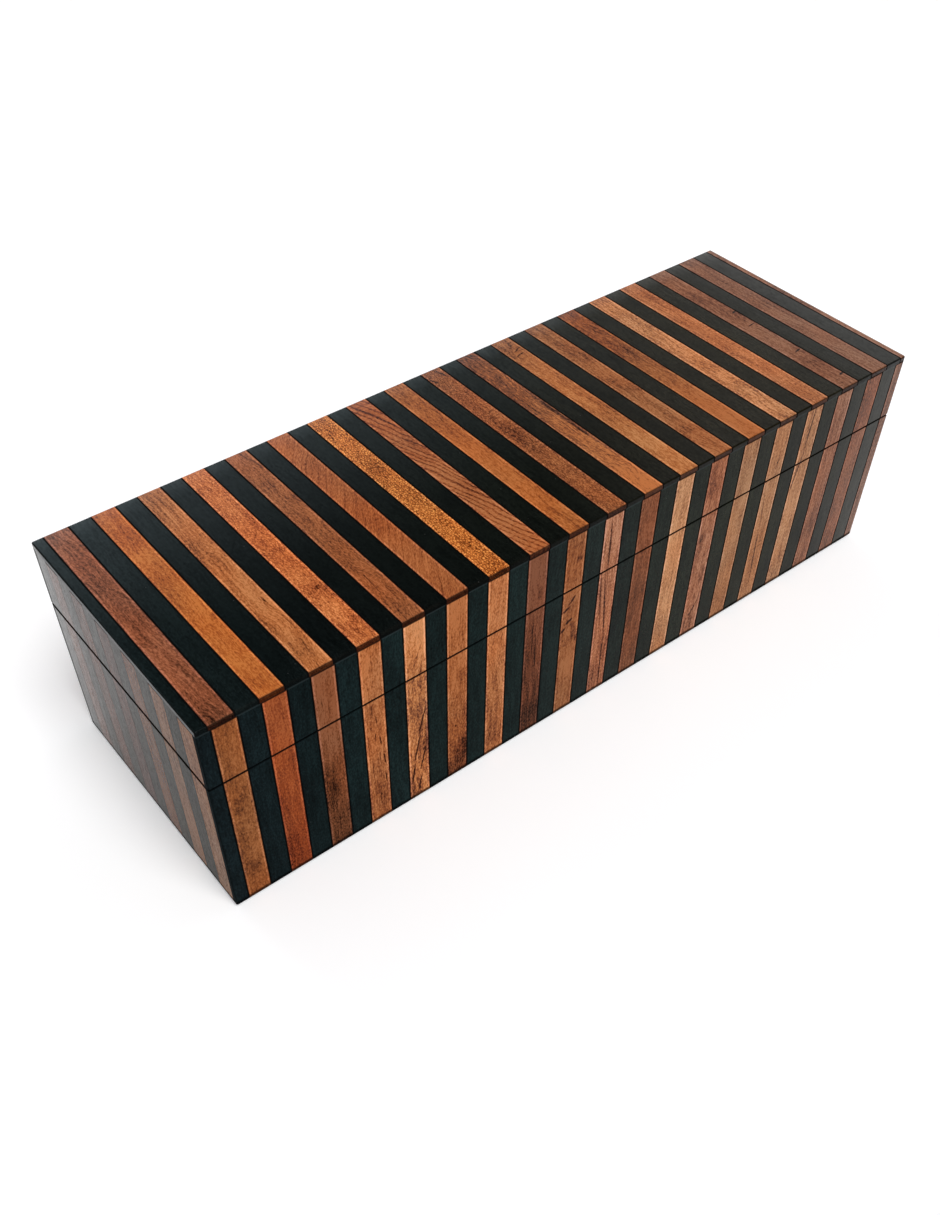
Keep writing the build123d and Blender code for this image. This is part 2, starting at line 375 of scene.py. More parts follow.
@cache
def timber_figure() -> bpy.types.NodeTree:
    """Build the effect that draws the figure of a timber, with the grain along Y.

    Returns:
        The group.
    """
    w = Effect(
        "timber_figure",
        Place=ORIGIN,
        Fibres=0.5,
        Bands=0.5,
        Rings=0.0,
        Mottle=0.0,
        Pores=0.3,
        Pebbles=0.0,
        Slant=0.0,
    )
    given = w.given
    place = given["Place"]
    x, y, z = w.split(place)
    wander = w.noise(place, (0.05, 0.04, 0.05))
    sideways = w.muladd(given["Slant"], y, w.times(wander, 6.0))
    grain_x = w.plus(x, sideways)
    grain = w.join(grain_x, y, z)

    threads = w.noise(grain, (1.4, 0.1, 1.4), 2.0, 0.6)
    fibres = w.noise(grain, (0.8, 0.045, 0.8), 3.0, 0.55)
    bands = w.noise(grain, (0.28, 0.014, 0.28))
    drift = w.noise(place, (0.06, 0.035, 0.06))
    contour = w.times(w.noise(grain, (0.07, 0.014, 0.07), 1.0), 10.0)
    contour = w.muladd(grain_x, 0.85, contour)
    ring = w.math("POWER", w.minus(1.0, w.math("PINGPONG", contour, 1.0)), 2.6)
    grit = w.noise(grain, (2.2, 0.9, 2.2), 2.0, 0.6)
    clouds = w.noise(place, (0.2, 0.1, 0.2))
    wobble = w.noise(place, (0.8, 0.5, 0.8))
    cell_place = w.vector("MULTIPLY", place, (1.4, 0.95, 1.4))
    cell_place = w.vector("ADD", cell_place, w.join(wobble, wobble, wobble))
    cells = w.node("ShaderNodeTexVoronoi", {"Vector": cell_place, "Scale": 1.0}, feature="DISTANCE_TO_EDGE")
    pebbles = w.fade(cells.outputs["Distance"], 0.02, 0.32, -0.6, 0.3)

    tone = w.muladd(pebbles, given["Pebbles"], 0.5)
    for value, strength, share in (
        (threads, 3.5, given["Fibres"]),
        (fibres, 2.2, given["Fibres"]),
        (bands, 1.7, given["Bands"]),
        (drift, 1.3, w.muladd(given["Pebbles"], -0.7, 1.0)),
        (grit, 2.6, 1.0),
        (grit, 0.8, given["Mottle"]),
        (clouds, 1.2, given["Mottle"]),
    ):
        tone = w.plus(tone, w.times(w.swing(value, strength), share))
    tone = w.minus(tone, w.times(w.minus(ring, 0.28), given["Rings"]))

    fine = w.fade(w.noise(grain, (3.0, 0.5, 3.0), 1.0), 0.56, 0.66)
    flecks = w.fade(w.noise(grain, (1.9, 0.3, 1.9)), 0.58, 0.66)
    pores = w.times(w.greatest(fine, flecks), given["Pores"], clamp=True)
    relief = w.muladd(threads, 0.5, w.times(grit, 0.5))
    hue = w.fade(w.noise(place, (0.045, 0.028, 0.045)), 0.32, 0.68)
    return w.giving(Tone=tone, Hue=hue, Pores=pores, Relief=w.minus(relief, pores))


@cache
def timber_colour() -> bpy.types.NodeTree:
    """Build the effect that colours a timber by its tone, its pores and its end grain.

    Returns:
        The group.
    """
    plain = grey(0.5)
    w = Effect("timber_colour", Tone=0.5, Hue=0.5, Pores=0.0, End=0.0, Body=plain, Light=plain, Dark=plain)
    given = w.given
    tone = w.minus(given["Tone"], w.times(given["End"], 0.25))
    deep = w.tinted(given["Dark"], DEEP_TINT)
    colour = w.mix(w.fade(tone, -0.7, 0.0), deep, given["Dark"])
    colour = w.mix(w.fade(tone, -0.05, 0.5), colour, given["Body"])
    colour = w.mix(w.fade(tone, 0.5, 1.05), colour, given["Light"])
    colour = w.tinted(colour, w.mix(given["Hue"], WARM_TINT, COOL_TINT))
    colour = w.mix(w.times(given["Pores"], 0.6), colour, w.tinted(given["Dark"], PORE_TINT))
    return w.giving(Color=w.mix(given["End"], colour, w.tinted(colour, END_TINT)))


@cache
def glue_line() -> bpy.types.NodeTree:
    """Build the effect that finds the glued joints between strips and the rims beside them, where a
    highlight is painted.

    Returns:
        The group.
    """
    w = Effect("glue_line", Edge=0.0, Width=8.0, Place=ORIGIN, Gap=0.1)
    given = w.given
    nearest = w.math("MINIMUM", given["Edge"], w.minus(given["Width"], given["Edge"]))
    uneven = w.noise(given["Place"], (0.4, 0.09, 0.4))
    nearest = w.plus(nearest, w.swing(uneven, 0.2))
    # The rims are a thin painted highlight beside each joint.
    rim = w.times(w.fade(nearest, 0.1, 0.3), w.fade(nearest, 0.6, 0.95, 1.0, 0.0))
    joint = w.fade(nearest, given["Gap"], w.plus(given["Gap"], 0.2), 1.0, 0.0)
    return w.giving(Joint=joint, Rim=rim)


@cache
def wood_mark() -> bpy.types.NodeTree:
    """Build the effect that masks one knot, crack, vein or shaded patch.

    Returns:
        The group.
    """
    w = Effect(
        "wood_mark", Across=0.0, Along=0.0, Middle=ORIGIN, Reach=(1.0, 1.0, 1.0), Turn=0.0, Ragged=0.3
    )
    given = w.given
    here = w.join(given["Across"], given["Along"], 0.0)
    lie = {"Vector": w.vector("SUBTRACT", here, given["Middle"]), "Angle": given["Turn"]}
    turned = w.node("ShaderNodeVectorRotate", lie, rotation_type="Z_AXIS").outputs[0]
    shares = w.vector("DIVIDE", turned, given["Reach"])
    ragged = w.swing(w.noise(here, (0.9, 0.5, 0.9), 3.0, 0.6), w.times(given["Ragged"], 5.0))
    far = w.plus(w.length(shares), ragged)
    turns = w.math("PINGPONG", w.times(far, 3.0), 1.0)
    swirl = w.times(turns, w.fade(far, 1.0, 2.6, 1.0, 0.0))
    return w.giving(Mask=w.fade(far, 0.35, 1.0, 1.0, 0.0), Swirl=swirl)


@cache
def handling() -> bpy.types.NodeTree:
    """Build the effect of use on the lacquer: rubbed edges, faint smears and fine dust. It also gives the
    masks where shade is painted, along the rounded edges, the parting and the strips' feet, and the line
    under the top strips, painted as shade on the brown strips and as a highlight on the dark ones.

    Returns:
        The group.
    """
    w = Effect("handling", Place=ORIGIN, Reach=0.48)
    place, reach = w.given["Place"], w.given["Reach"]
    centred = w.vector("ABSOLUTE", w.vector("SUBTRACT", place, (0.0, 0.0, HALF_HEIGHT)))
    x, y, z = w.split(w.vector("SUBTRACT", (HALF_LENGTH, HALF_DEPTH, HALF_HEIGHT), centred))
    height = w.split(place, "Z")[0]
    nearer = w.math("MINIMUM", x, y)
    farther = w.greatest(x, y)
    from_edge = w.greatest(nearer, w.math("MINIMUM", farther, z))
    patchy = w.noise(place, (0.12, 0.12, 0.12), 4.0, 0.6)
    smear = w.noise(place, (0.02, 0.035, 0.02), 3.0, 0.55)
    specks = w.vector("MULTIPLY", place, (0.22, 0.22, 0.22))
    dust = w.node("ShaderNodeTexVoronoi", {"Vector": specks, "Scale": 1.0}, feature="F1")
    # Painted shade: a dark line along the parting between lid and base, wider than the gap itself.
    seam_shade = w.fade(w.apart(height, SEAM_HEIGHT), reach, w.plus(reach, 0.24), 1.0, 0.0)
    # Painted shadow along the strips' feet, where they meet the floor.
    foot_shade = w.fade(height, *FOOT_SHADE, 0.9, 0.0)
    return w.giving(
        Rubbed=w.fade(w.plus(from_edge, w.times(patchy, 2.4)), 0.9, 2.1, 1.0, 0.0),
        # Along the rounded edges: painted shade on the brown strips, and no lacquer there.
        Eased=w.fade(from_edge, 0.2, 0.6, 1.0, 0.0),
        Smear=w.fade(smear, 0.35, 0.7),
        Dust=w.fade(dust.outputs["Distance"], 0.02, 0.05, 1.0, 0.0),
        Ripple=w.noise(place, (0.35, 0.35, 0.35), 3.0),
        Parting=w.greatest(seam_shade, foot_shade),
        # The line under the top strips: painted shade on the brown strips and a painted highlight on the
        # dark ones.
        Ledge=w.fade(w.apart(height, TOP_LAYER_HEIGHT), 0.22, 0.42, 1.0, 0.0),
    )


@cache
def cloth_nap() -> bpy.types.NodeTree:
    """Build the effect of a short pile: its tufts, and the patches where it is brushed the other way.

    Returns:
        The group.
    """
    w = Effect("cloth_nap", Place=ORIGIN, Tufts=3.0, Lay=(0.05, 0.05, 0.05))
    given = w.given
    tuft = w.noise(given["Place"], given["Tufts"], 4.0, 0.7)
    brushed = w.noise(given["Place"], given["Lay"], 4.0, distortion=0.2)
    fluff = w.noise(given["Place"], (0.5, 0.5, 0.5), 5.0, 0.75)
    return w.giving(Tuft=tuft, Brushed=w.fade(brushed, 0.38, 0.66), Fluff=w.fade(fluff, 0.66, 0.74))


class Finish:
    """A material being made: its wiring and its one shader."""

    def __init__(self, name: str, **constants: Given) -> None:
        """Start a material.

        Args:
            name: The material's name.
            **constants: Shader values that are the same all over, with _ for the spaces in their names.
        """
        self.material = bpy.data.materials.new(name)
        self.material.use_nodes = True
        self.wiring = Wiring(self.material.node_tree)
        self.shader = self.material.node_tree.nodes["Principled BSDF"]
        for label, value in constants.items():
            self.shader.inputs[label.replace("_", " ")].default_value = value

    def varies(self, label: str, value: Socket) -> None:
        """Let a value of the shader change over the surface."""
        self.wiring.feed(self.shader.inputs[label], value)

    def bump(self, height: Socket, distance: float, strength: float = 1.0) -> None:
        """Give the surface a fine relief.

        Args:
            height: The relief, about 0 to 1.
            distance: The depth of the relief, in metres.
            strength: How much of it shows.
        """
        given = {"Strength": strength, "Distance": distance, "Height": height}
        self.varies("Normal", self.wiring.node("ShaderNodeBump", given).outputs[0])


@dataclass(frozen=True)
class TimberLook:
    """Colours and figure of one timber.

    The colours are display colours. The figure's shares go from 0, none, to 1, strong.
    """

    body: Colour
    light: Colour
    dark: Colour
    fibres: float = 0.5
    bands: float = 0.4
    rings: float = 0.0
    mottle: float = 0.3
    pores: float = 0.3
    pebbles: float = 0.0

    def figure(self) -> dict[str, float]:
        """Give the figure's shares by the names that the effect of the figure knows them by."""
        names = ("fibres", "bands", "rings", "mottle", "pores", "pebbles")
        return {name.capitalize(): getattr(self, name) for name in names}


class Timber(Enum):
    """The brown timbers that the strips are cut from."""

    ROSEWOOD = TimberLook((128, 73, 49), (156, 95, 66), (92, 52, 34), 0.5, 0.5, 0.15, 0.4, 0.2)
    PADAUK = TimberLook((168, 91, 42), (192, 115, 57), (136, 70, 35), 0.4, 0.35, 0.1, 0.4, 0.15)
    RED_PADAUK = TimberLook((150, 72, 38), (176, 92, 50), (118, 54, 31), 0.35, 0.35, 0.0, 0.35, 0.15)
    OAK = TimberLook((184, 107, 50), (212, 140, 72), (134, 72, 31), 0.25, 0.25, 0.0, 0.35, 0.2, 1.0)
    CHERRY = TimberLook((176, 98, 52), (202, 126, 74), (138, 70, 38), 0.3, 0.3, 0.0, 0.35, 0.15, 0.55)
    PLAIN_CHERRY = TimberLook((165, 94, 47), (187, 114, 63), (131, 70, 37), 0.45, 0.35, 0.1, 0.4, 0.2)
    WALNUT = TimberLook((138, 78, 44), (164, 98, 60), (98, 54, 34), 0.5, 0.4, 0.1, 0.3, 0.25)
    BUBINGA = TimberLook((162, 90, 50), (190, 118, 72), (112, 56, 32), 0.3, 0.2, 1.0, 0.3, 0.15)
    SAPELE = TimberLook((158, 88, 48), (184, 110, 64), (124, 64, 36), 0.35, 0.3, 0.25, 0.4, 0.15)
    ASH = TimberLook((186, 128, 86), (210, 152, 108), (148, 96, 63), 0.4, 0.35, 0.15, 0.35, 0.15)
    TEAK = TimberLook((166, 98, 54), (192, 124, 76), (124, 70, 40), 0.6, 0.35, 0.1, 0.35, 0.2)
    MAHOGANY = TimberLook((142, 82, 51), (168, 104, 70), (108, 62, 38), 0.5, 0.35, 0.0, 0.45, 0.25)
    SALMON = TimberLook((168, 100, 58), (196, 126, 80), (128, 70, 42), 0.5, 0.3, 0.1, 0.35, 0.25)
    PEAR = TimberLook((168, 106, 74), (198, 136, 102), (126, 74, 52), 0.55, 0.3, 0.1, 0.35, 0.25)
    PECAN = TimberLook((180, 114, 68), (208, 144, 98), (124, 73, 50), 0.5, 0.3, 0.2, 0.4, 0.3)
    HONEY = TimberLook((178, 109, 60), (202, 137, 85), (144, 83, 47), 0.45, 0.3, 0.0, 0.35, 0.2, 0.25)
    BURR = TimberLook((142, 81, 46), (170, 107, 64), (106, 58, 34), 0.3, 0.35, 0.0, 0.5, 0.35, 0.6)
    STREAKED = TimberLook((144, 84, 50), (188, 116, 67), (104, 62, 42), 0.5, 0.4, 0.1, 0.4, 0.25)
    OCHRE = TimberLook((146, 86, 48), (172, 108, 65), (112, 64, 38), 0.3, 0.3, 0.0, 0.6, 0.2)


@dataclass(frozen=True)
class Mark:
    """A knot, crack, vein or shaded patch in one strip, in millimetres.

    across is its place from the strip's first edge, and along its place along the strip in the box's
    frame. turn is its angle in degrees. depth is how dark it is, below 0 for a lighter patch. A knot has
    rings of grain round it.
    """

    across: float
    along: float
    half_width: float
    half_length: float
    depth: float
    turn: float = 0.0
    ragged: float = 0.3
    knot: bool = False


@dataclass(frozen=True)
class BrownStrip:
    """One brown strip: its timber, how its grain lies, and its marks.

    slant is the grain's sideways step to one along it, lean how much lighter the strip gets towards the
    far end of its length, and level how light it is against its timber's usual colour. The lean is partly
    the wood's own tone and partly painted shade: on the front it leaves the strips lighter towards the top.
    """

    timber: Timber
    slant: float = 0.0
    lean_and_shade: float = 0.0
    level: float = 1.0
    marks: tuple[Mark, ...] = ()

    def shades(self) -> tuple[Linear, ...]:
        """Give the strip's own body, light and dark colour."""
        look = self.timber.value
        return tuple(linear(colour, self.level) for colour in (look.body, look.light, look.dark))


@dataclass(frozen=True)
class Lacquer:
    """The clear finish over the strips of a face.

    coats is how strongly it shines, and black the colour of the dark wood under it, both at equal steps
    across the face. bare_ends is how much less the sawn ends shine at the face's two sides, far_rise how
    much more the face shines at its far edge, and uneven how much the shine changes from place to place.
    glue is how dark the glue joints are, rim how much paler the strips' rims are as a painted highlight,
    and parting half the width of the painted shade line between lid and base, in millimetres.
    """

    coats: tuple[float, ...] = (0.34, 0.34)
    black: tuple[Colour, ...] = ((12, 17, 17), (12, 17, 17))
    bare_ends: tuple[float, float] = (0.9, 0.9)
    far_rise: float = 0.0
    glue: float = 1.0
    uneven: float = 0.2
    rim: float = 0.3
    parting_shade: float = 0.48
    coat_roughness: float = 0.12
    roughness: float = 0.45
    specular: float = 0.0


TOP_LACQUER = Lacquer(
    (0.62, 0.55, 0.49, 0.46, 0.43, 0.38, 0.33, 0.325, 0.32, 0.3, 0.28, 0.34, 0.64),
    ((14, 22, 23), (10, 14, 14), (10, 13, 11), (13, 15, 11), (20, 18, 10), (24, 21, 9), (19, 22, 22)),
    bare_ends=(0.94, 0.05),
    far_rise=0.42,
    uneven=0.32,
    rim=0.38,
)
FRONT_LACQUER = Lacquer(
    (0.05, 0.05, 0.068, 0.1, 0.19, 0.24, 0.29, 0.36, 0.68),
    (
        (17, 28, 32), (16, 29, 31), (17, 31, 32), (18, 32, 32), (19, 30, 28), (22, 28, 20), (24, 26, 14),
        (26, 26, 13), (28, 26, 14),
    ),
    rim=0.5,
    parting_shade=0.32,
)
LEFT_LACQUER = Lacquer(
    (0.34, 0.46, 0.53, 0.63, 0.96),
    ((36, 32, 16), (36, 32, 16)),
    uneven=0.34,
    glue=0.3,
    rim=0.06,
    parting_shade=0.8,
)
PLAIN_LACQUER = Lacquer()


@dataclass(frozen=True)
class Wear:
    """What use and glue leave on strips of one colour; the glue's colour also paints the shade lines.

    rubbed is the wood's colour where the lacquer is rubbed thin. Each share is how strongly the colour
    before it shows. gap is how far the glue line reaches into a strip, in millimetres.
    """

    rubbed: Colour
    rubbed_share: float
    dust: Colour
    dust_share: float
    glue: Colour
    glue_share: float
    gap: float


BROWN_WEAR = Wear((214, 160, 118), 0.04, (190, 186, 180), 0.1, (20, 14, 12), 0.9, gap=0.06)
DARK_WEAR = Wear((92, 84, 74), 0.03, (170, 170, 168), 0.08, (7, 6, 6), 0.8, gap=0.35)
# The painted shade along the rounded edges of the box, on the brown strips.
EDGE_SHADE = (34, 22, 16)
# A painted highlight along the line under the top strips, on the dark strips.
DARK_LEDGE_HIGHLIGHT = (56, 66, 68)
DARK_FIGURE = {"Fibres": 0.35, "Bands": 0.3, "Rings": 0.05, "Mottle": 0.5, "Pores": 0.2}

T = Timber
TOP_STRIPS = (
    BrownStrip(T.ROSEWOOD, slant=0.05, level=1.14, marks=(
        Mark(4.0, 40.0, 5.0, 12.0, -0.25, 15.0, 0.4), Mark(4.0, 6.0, 6.0, 16.0, 0.15, 0.0, 0.5),
    )),
    BrownStrip(T.PADAUK, level=1.04, marks=(
        Mark(6.0, 36.0, 2.4, 8.0, 0.28, -10.0, 0.4), Mark(4.0, 22.0, 5.0, 5.0, -0.3, 0.0, 0.5),
        Mark(4.0, 2.0, 5.0, 10.0, 0.12, 0.0, 0.4), Mark(7.4, -13.5, 1.6, 2.0, 0.6, 30.0),
        Mark(3.0, -44.0, 3.0, 4.0, 0.25, 0.0, 0.5),
    )),
    BrownStrip(T.TEAK, lean_and_shade=-0.15, level=1.07, marks=(
        Mark(6.2, -17.0, 0.4, 2.6, 0.8, -5.0), Mark(1.0, -24.0, 0.5, 8.0, 0.5),
        Mark(3.4, 32.0, 0.4, 16.0, -0.35, 1.0, 0.2),
    )),
    BrownStrip(T.CHERRY, level=1.25, marks=(
        Mark(4.5, -3.0, 4.5, 12.0, 0.2, 0.0, 0.5), Mark(5.2, -22.0, 3.4, 2.2, 0.4, 25.0, 0.3, True),
        Mark(3.6, -34.0, 5.0, 7.0, -0.4, 0.0, 0.4), Mark(6.4, -40.0, 1.2, 4.0, 0.35, 0.0, 0.5),
    )),
    BrownStrip(T.WALNUT, level=1.16, marks=(
        Mark(3.0, -30.0, 0.3, 8.0, 0.6, 4.0), Mark(5.4, -38.0, 0.3, 7.0, 0.5, 2.0),
    )),
    BrownStrip(T.SAPELE, slant=-0.7, level=1.0, marks=(
        Mark(3.0, -9.0, 5.0, 7.0, 0.22, 0.0, 0.4), Mark(5.0, -34.0, 0.35, 6.0, -0.6, 30.0, 0.15),
    )),
    BrownStrip(T.OAK, level=1.25, marks=(
        Mark(3.6, 42.0, 0.35, 6.0, 0.6, -8.0, 0.2), Mark(2.4, 38.0, 0.3, 5.0, 0.5, 10.0, 0.2),
    )),
    BrownStrip(T.BUBINGA, slant=0.32, lean_and_shade=-0.15, level=0.9, marks=(
        Mark(3.4, 42.0, 0.7, 8.0, 0.5, -20.0, 0.2), Mark(6.0, 34.0, 0.6, 9.0, 0.5, -17.0, 0.2),
        Mark(5.6, 20.0, 2.6, 6.0, 0.2, 0.0, 0.4),
    )),
    BrownStrip(T.PLAIN_CHERRY, lean_and_shade=-0.05),
    BrownStrip(T.BURR, slant=-0.05, lean_and_shade=-0.1, level=1.17, marks=(
        Mark(4.0, 2.0, 3.6, 16.0, 0.4, 0.0, 0.5), Mark(1.0, 44.0, 0.5, 5.0, 0.8, -25.0, 0.2),
        Mark(6.4, 46.0, 0.6, 5.0, 0.8, -15.0, 0.2),
    )),
    BrownStrip(T.STREAKED, lean_and_shade=-0.5, level=0.97, marks=(
        Mark(7.2, -2.0, 1.1, 24.0, 0.9, 0.0, 0.1), Mark(4.0, 16.0, 7.0, 18.0, 0.2),
        Mark(5.0, -4.0, 0.35, 16.0, 0.6, 1.0, 0.15), Mark(2.2, 14.0, 0.4, 14.0, 0.5, 0.0, 0.2),
        Mark(5.6, -28.0, 0.5, 3.5, 0.6, -30.0),
    )),
    BrownStrip(T.HONEY, lean_and_shade=-0.25, level=0.87, marks=(
        Mark(5.6, 41.0, 2.6, 0.5, 0.8, -25.0, 0.25), Mark(5.0, 38.0, 3.0, 0.5, 0.8, -15.0, 0.25),
        Mark(3.0, 44.0, 3.0, 3.0, 0.35, 0.0, 0.4),
    )),
    BrownStrip(T.TEAK, lean_and_shade=-0.2, level=0.76, marks=(
        Mark(4.0, 4.0, 3.0, 4.0, 0.3, 0.0, 0.4), Mark(2.4, -33.0, 3.0, 5.0, 0.35, 20.0, 0.4),
    )),
    BrownStrip(T.PLAIN_CHERRY, lean_and_shade=-0.5, level=0.84, marks=(
        Mark(4.0, -10.0, 5.0, 10.0, 0.15, 0.0, 0.5),
    )),
    BrownStrip(T.PECAN, level=0.98),
    BrownStrip(T.SALMON, lean_and_shade=-0.1, level=1.02),
    BrownStrip(T.PEAR, level=0.53, marks=(
        Mark(7.2, 10.2, 1.5, 0.5, 2.2, -18.0, 0.1), Mark(5.8, -0.2, 2.6, 0.4, 1.6, -8.0, 0.12),
        Mark(6.2, -23.0, 2.4, 0.5, 1.8, -12.0, 0.12), Mark(7.2, -43.0, 1.6, 0.6, 2.2, -12.0, 0.12),
        Mark(1.4, -19.0, 0.4, 3.0, 0.5, -30.0, 0.2),
    )),
    BrownStrip(T.PEAR, level=0.5, marks=(
        Mark(3.2, -33.0, 0.4, 8.5, 0.6, -15.0, 0.15),
    )),
    BrownStrip(T.PEAR, level=0.5),
)
# The front strips' leans paint shade on them: lighter towards the top, darker towards the foot.
FRONT_STRIPS = (
    BrownStrip(T.OCHRE, lean_and_shade=0.1, level=1.05, marks=(
        Mark(4.0, 70.0, 5.0, 8.0, -0.15, 0.0, 0.5), Mark(3.0, 46.0, 2.6, 5.0, 0.2, 0.0, 0.5),
        Mark(4.0, 15.0, 3.4, 4.0, 0.3, 0.0, 0.5),
    )),
    BrownStrip(T.RED_PADAUK, lean_and_shade=0.35, level=1.04),
    BrownStrip(T.MAHOGANY, lean_and_shade=0.8, level=0.85, marks=(
        Mark(2.6, 70.0, 0.3, 5.0, 0.7, -3.0), Mark(4.6, 68.0, 0.3, 5.0, 0.6, 2.0),
        Mark(3.0, 32.0, 4.4, 12.0, 0.22), Mark(4.0, 12.0, 0.3, 10.0, 0.5, 2.0, 0.2),
    )),
    BrownStrip(T.SALMON, lean_and_shade=0.25, level=1.1, marks=(
        Mark(4.0, 66.0, 0.35, 3.0, 0.7, 8.0), Mark(3.2, 55.0, 0.3, 3.0, 1.1, 2.0),
        Mark(4.6, 50.0, 0.35, 3.6, 1.3, -3.0), Mark(3.8, 43.0, 0.3, 2.6, 1.1, 4.0),
        Mark(5.6, 40.0, 0.35, 4.0, 1.3, -6.0), Mark(5.0, 32.0, 0.3, 3.0, 1.0, 3.0),
        Mark(6.7, 31.0, 0.35, 4.0, 1.3, -5.0), Mark(6.9, 21.0, 0.4, 4.0, 1.2, -3.0),
        Mark(2.2, 28.0, 0.3, 6.0, 0.7), Mark(4.4, 13.0, 0.35, 5.0, 0.8, 2.0),
    )),
    BrownStrip(T.PECAN, lean_and_shade=0.42, level=1.23, marks=(
        Mark(5.4, 70.0, 0.35, 7.0, 0.8, 20.0), Mark(5.8, 38.0, 0.45, 8.0, 1.5, 15.0, 0.1),
        Mark(3.6, 26.0, 0.45, 8.0, 1.5, 12.0, 0.1), Mark(1.8, 14.0, 0.5, 7.0, 1.4, 8.0, 0.12),
        Mark(6.0, 20.0, 0.4, 8.0, 1.2, 14.0, 0.1), Mark(4.4, 8.0, 0.4, 6.0, 1.2, 12.0, 0.12),
        Mark(6.0, 24.0, 2.4, 10.0, 0.35, 8.0),
    )),
    BrownStrip(T.SALMON, lean_and_shade=0.8, level=0.98, marks=(
        Mark(5.8, 49.0, 2.0, 5.0, 0.35, 0.0, 0.2), Mark(3.4, 26.0, 0.5, 0.7, 1.0, 0.0, 0.2),
        Mark(5.8, 12.0, 4.0, 9.0, 0.5, 0.0, 0.12),
    )),
    BrownStrip(T.SALMON, lean_and_shade=0.3, level=1.22, marks=(
        Mark(4.4, 10.0, 4.6, 9.0, 0.2, 0.0, 0.2),
    )),
    BrownStrip(T.ROSEWOOD, lean_and_shade=0.55, level=0.83, marks=(
        Mark(4.1, 76.0, 0.35, 6.5, -0.9, 27.0, 0.1), Mark(6.0, 66.0, 1.4, 4.0, 0.5, 0.0, 0.4),
        Mark(3.4, 46.0, 0.4, 12.0, 0.9, 0.0, 0.2), Mark(5.0, 40.0, 0.5, 14.0, 0.9, -2.0, 0.2),
        Mark(6.4, 32.0, 0.3, 4.0, -0.8, -18.0, 0.1), Mark(4.0, 8.0, 6.0, 14.0, 0.12),
    )),
    BrownStrip(T.SALMON, lean_and_shade=0.05, level=0.8, marks=(
        Mark(5.8, 72.0, 1.6, 1.8, 0.7, 20.0), Mark(4.9, 78.0, 2.0, 1.6, 0.4, 0.0, 0.4),
        Mark(4.6, 55.0, 3.2, 0.8, 1.3, -50.0, 0.15), Mark(1.8, 51.4, 2.6, 0.8, 1.2, -28.0, 0.15),
        Mark(3.6, 45.4, 3.0, 0.9, 1.2, -24.0, 0.15), Mark(1.4, 42.4, 2.0, 0.8, 1.2, -36.0, 0.15),
        Mark(6.2, 40.0, 2.0, 7.0, 0.8, -18.0, 0.35), Mark(4.4, 36.0, 4.2, 3.4, 0.5, -30.0, 0.4),
        Mark(4.0, 24.0, 4.0, 6.0, -0.4),
    )),
    BrownStrip(T.PEAR, lean_and_shade=0.25, level=1.12, marks=(
        Mark(3.3, 72.0, 0.55, 16.0, 1.1, -1.5, 0.06), Mark(4.2, 42.0, 0.6, 22.0, 1.1, -5.0, 0.08),
        Mark(5.4, 14.0, 0.55, 18.0, 0.9, -1.0, 0.12), Mark(1.7, 48.0, 0.55, 15.0, 0.9, -4.0, 0.1),
        Mark(1.4, 72.0, 1.0, 8.0, 0.25),
    )),
    BrownStrip(T.MAHOGANY, lean_and_shade=0.15, level=0.8),
    BrownStrip(T.ASH, lean_and_shade=0.1, level=1.16),
    BrownStrip(T.PEAR, level=0.95, marks=(
        Mark(2.6, 72.0, 2.8, 8.0, 0.25, 0.0, 0.4), Mark(2.8, 50.0, 2.0, 4.0, 0.3, 20.0),
        Mark(6.4, 30.0, 1.4, 6.0, 0.35), Mark(5.0, 14.0, 0.6, 5.0, 0.9, 28.0, 0.2),
        Mark(3.6, 7.0, 5.0, 8.0, 0.35, 0.0, 0.2),
    )),
    BrownStrip(T.ASH, level=0.84),
    BrownStrip(T.ASH, lean_and_shade=0.1, level=0.9, marks=(
        Mark(4.9, 66.0, 0.5, 4.0, 0.8, 12.0, 0.2), Mark(2.3, 48.0, 0.4, 12.0, 0.9, -6.0, 0.12),
        Mark(3.9, 22.0, 0.5, 18.0, 1.0, -3.5, 0.12),
    )),
    BrownStrip(T.ASH, lean_and_shade=0.1, level=1.0, marks=(
        Mark(3.7, 74.0, 0.45, 11.0, 1.4, 4.0, 0.06), Mark(2.0, 56.0, 0.45, 11.0, 1.4, 10.0, 0.06),
        Mark(0.9, 62.0, 0.7, 14.0, -0.4, 6.0, 0.1),
    )),
    BrownStrip(T.PEAR, level=0.74),
    BrownStrip(T.MAHOGANY, lean_and_shade=-0.15, level=0.85),
    BrownStrip(T.PEAR, level=0.5),
)
BACK_STRIPS = tuple(
    BrownStrip(timber, slant=slant)
    for timber, slant in zip(
        (
            T.TEAK, T.BUBINGA, T.OAK, T.WALNUT, T.CHERRY, T.ASH, T.MAHOGANY, T.PADAUK, T.PECAN, T.ROSEWOOD,
            T.OCHRE, T.TEAK, T.PLAIN_CHERRY, T.OAK, T.BUBINGA, T.ASH, T.WALNUT, T.PECAN, T.MAHOGANY,
        ),
        (0.0, 0.3, 0.0, 0.1, 0.0, 0.0, 0.0, 0.2, 0.0, -0.2, 0.0, 0.0, 0.1, 0.0, -0.4, 0.0, 0.0, 0.1, 0.0),
    )
)
LEFT_STRIPS = (
    BrownStrip(T.ASH, level=0.78),
    BrownStrip(T.ASH, level=0.62),
    BrownStrip(T.TEAK, level=0.55),
    BrownStrip(T.ROSEWOOD, level=0.55),
    BrownStrip(T.MAHOGANY, level=0.55),
    BrownStrip(T.MAHOGANY, level=0.7),
)
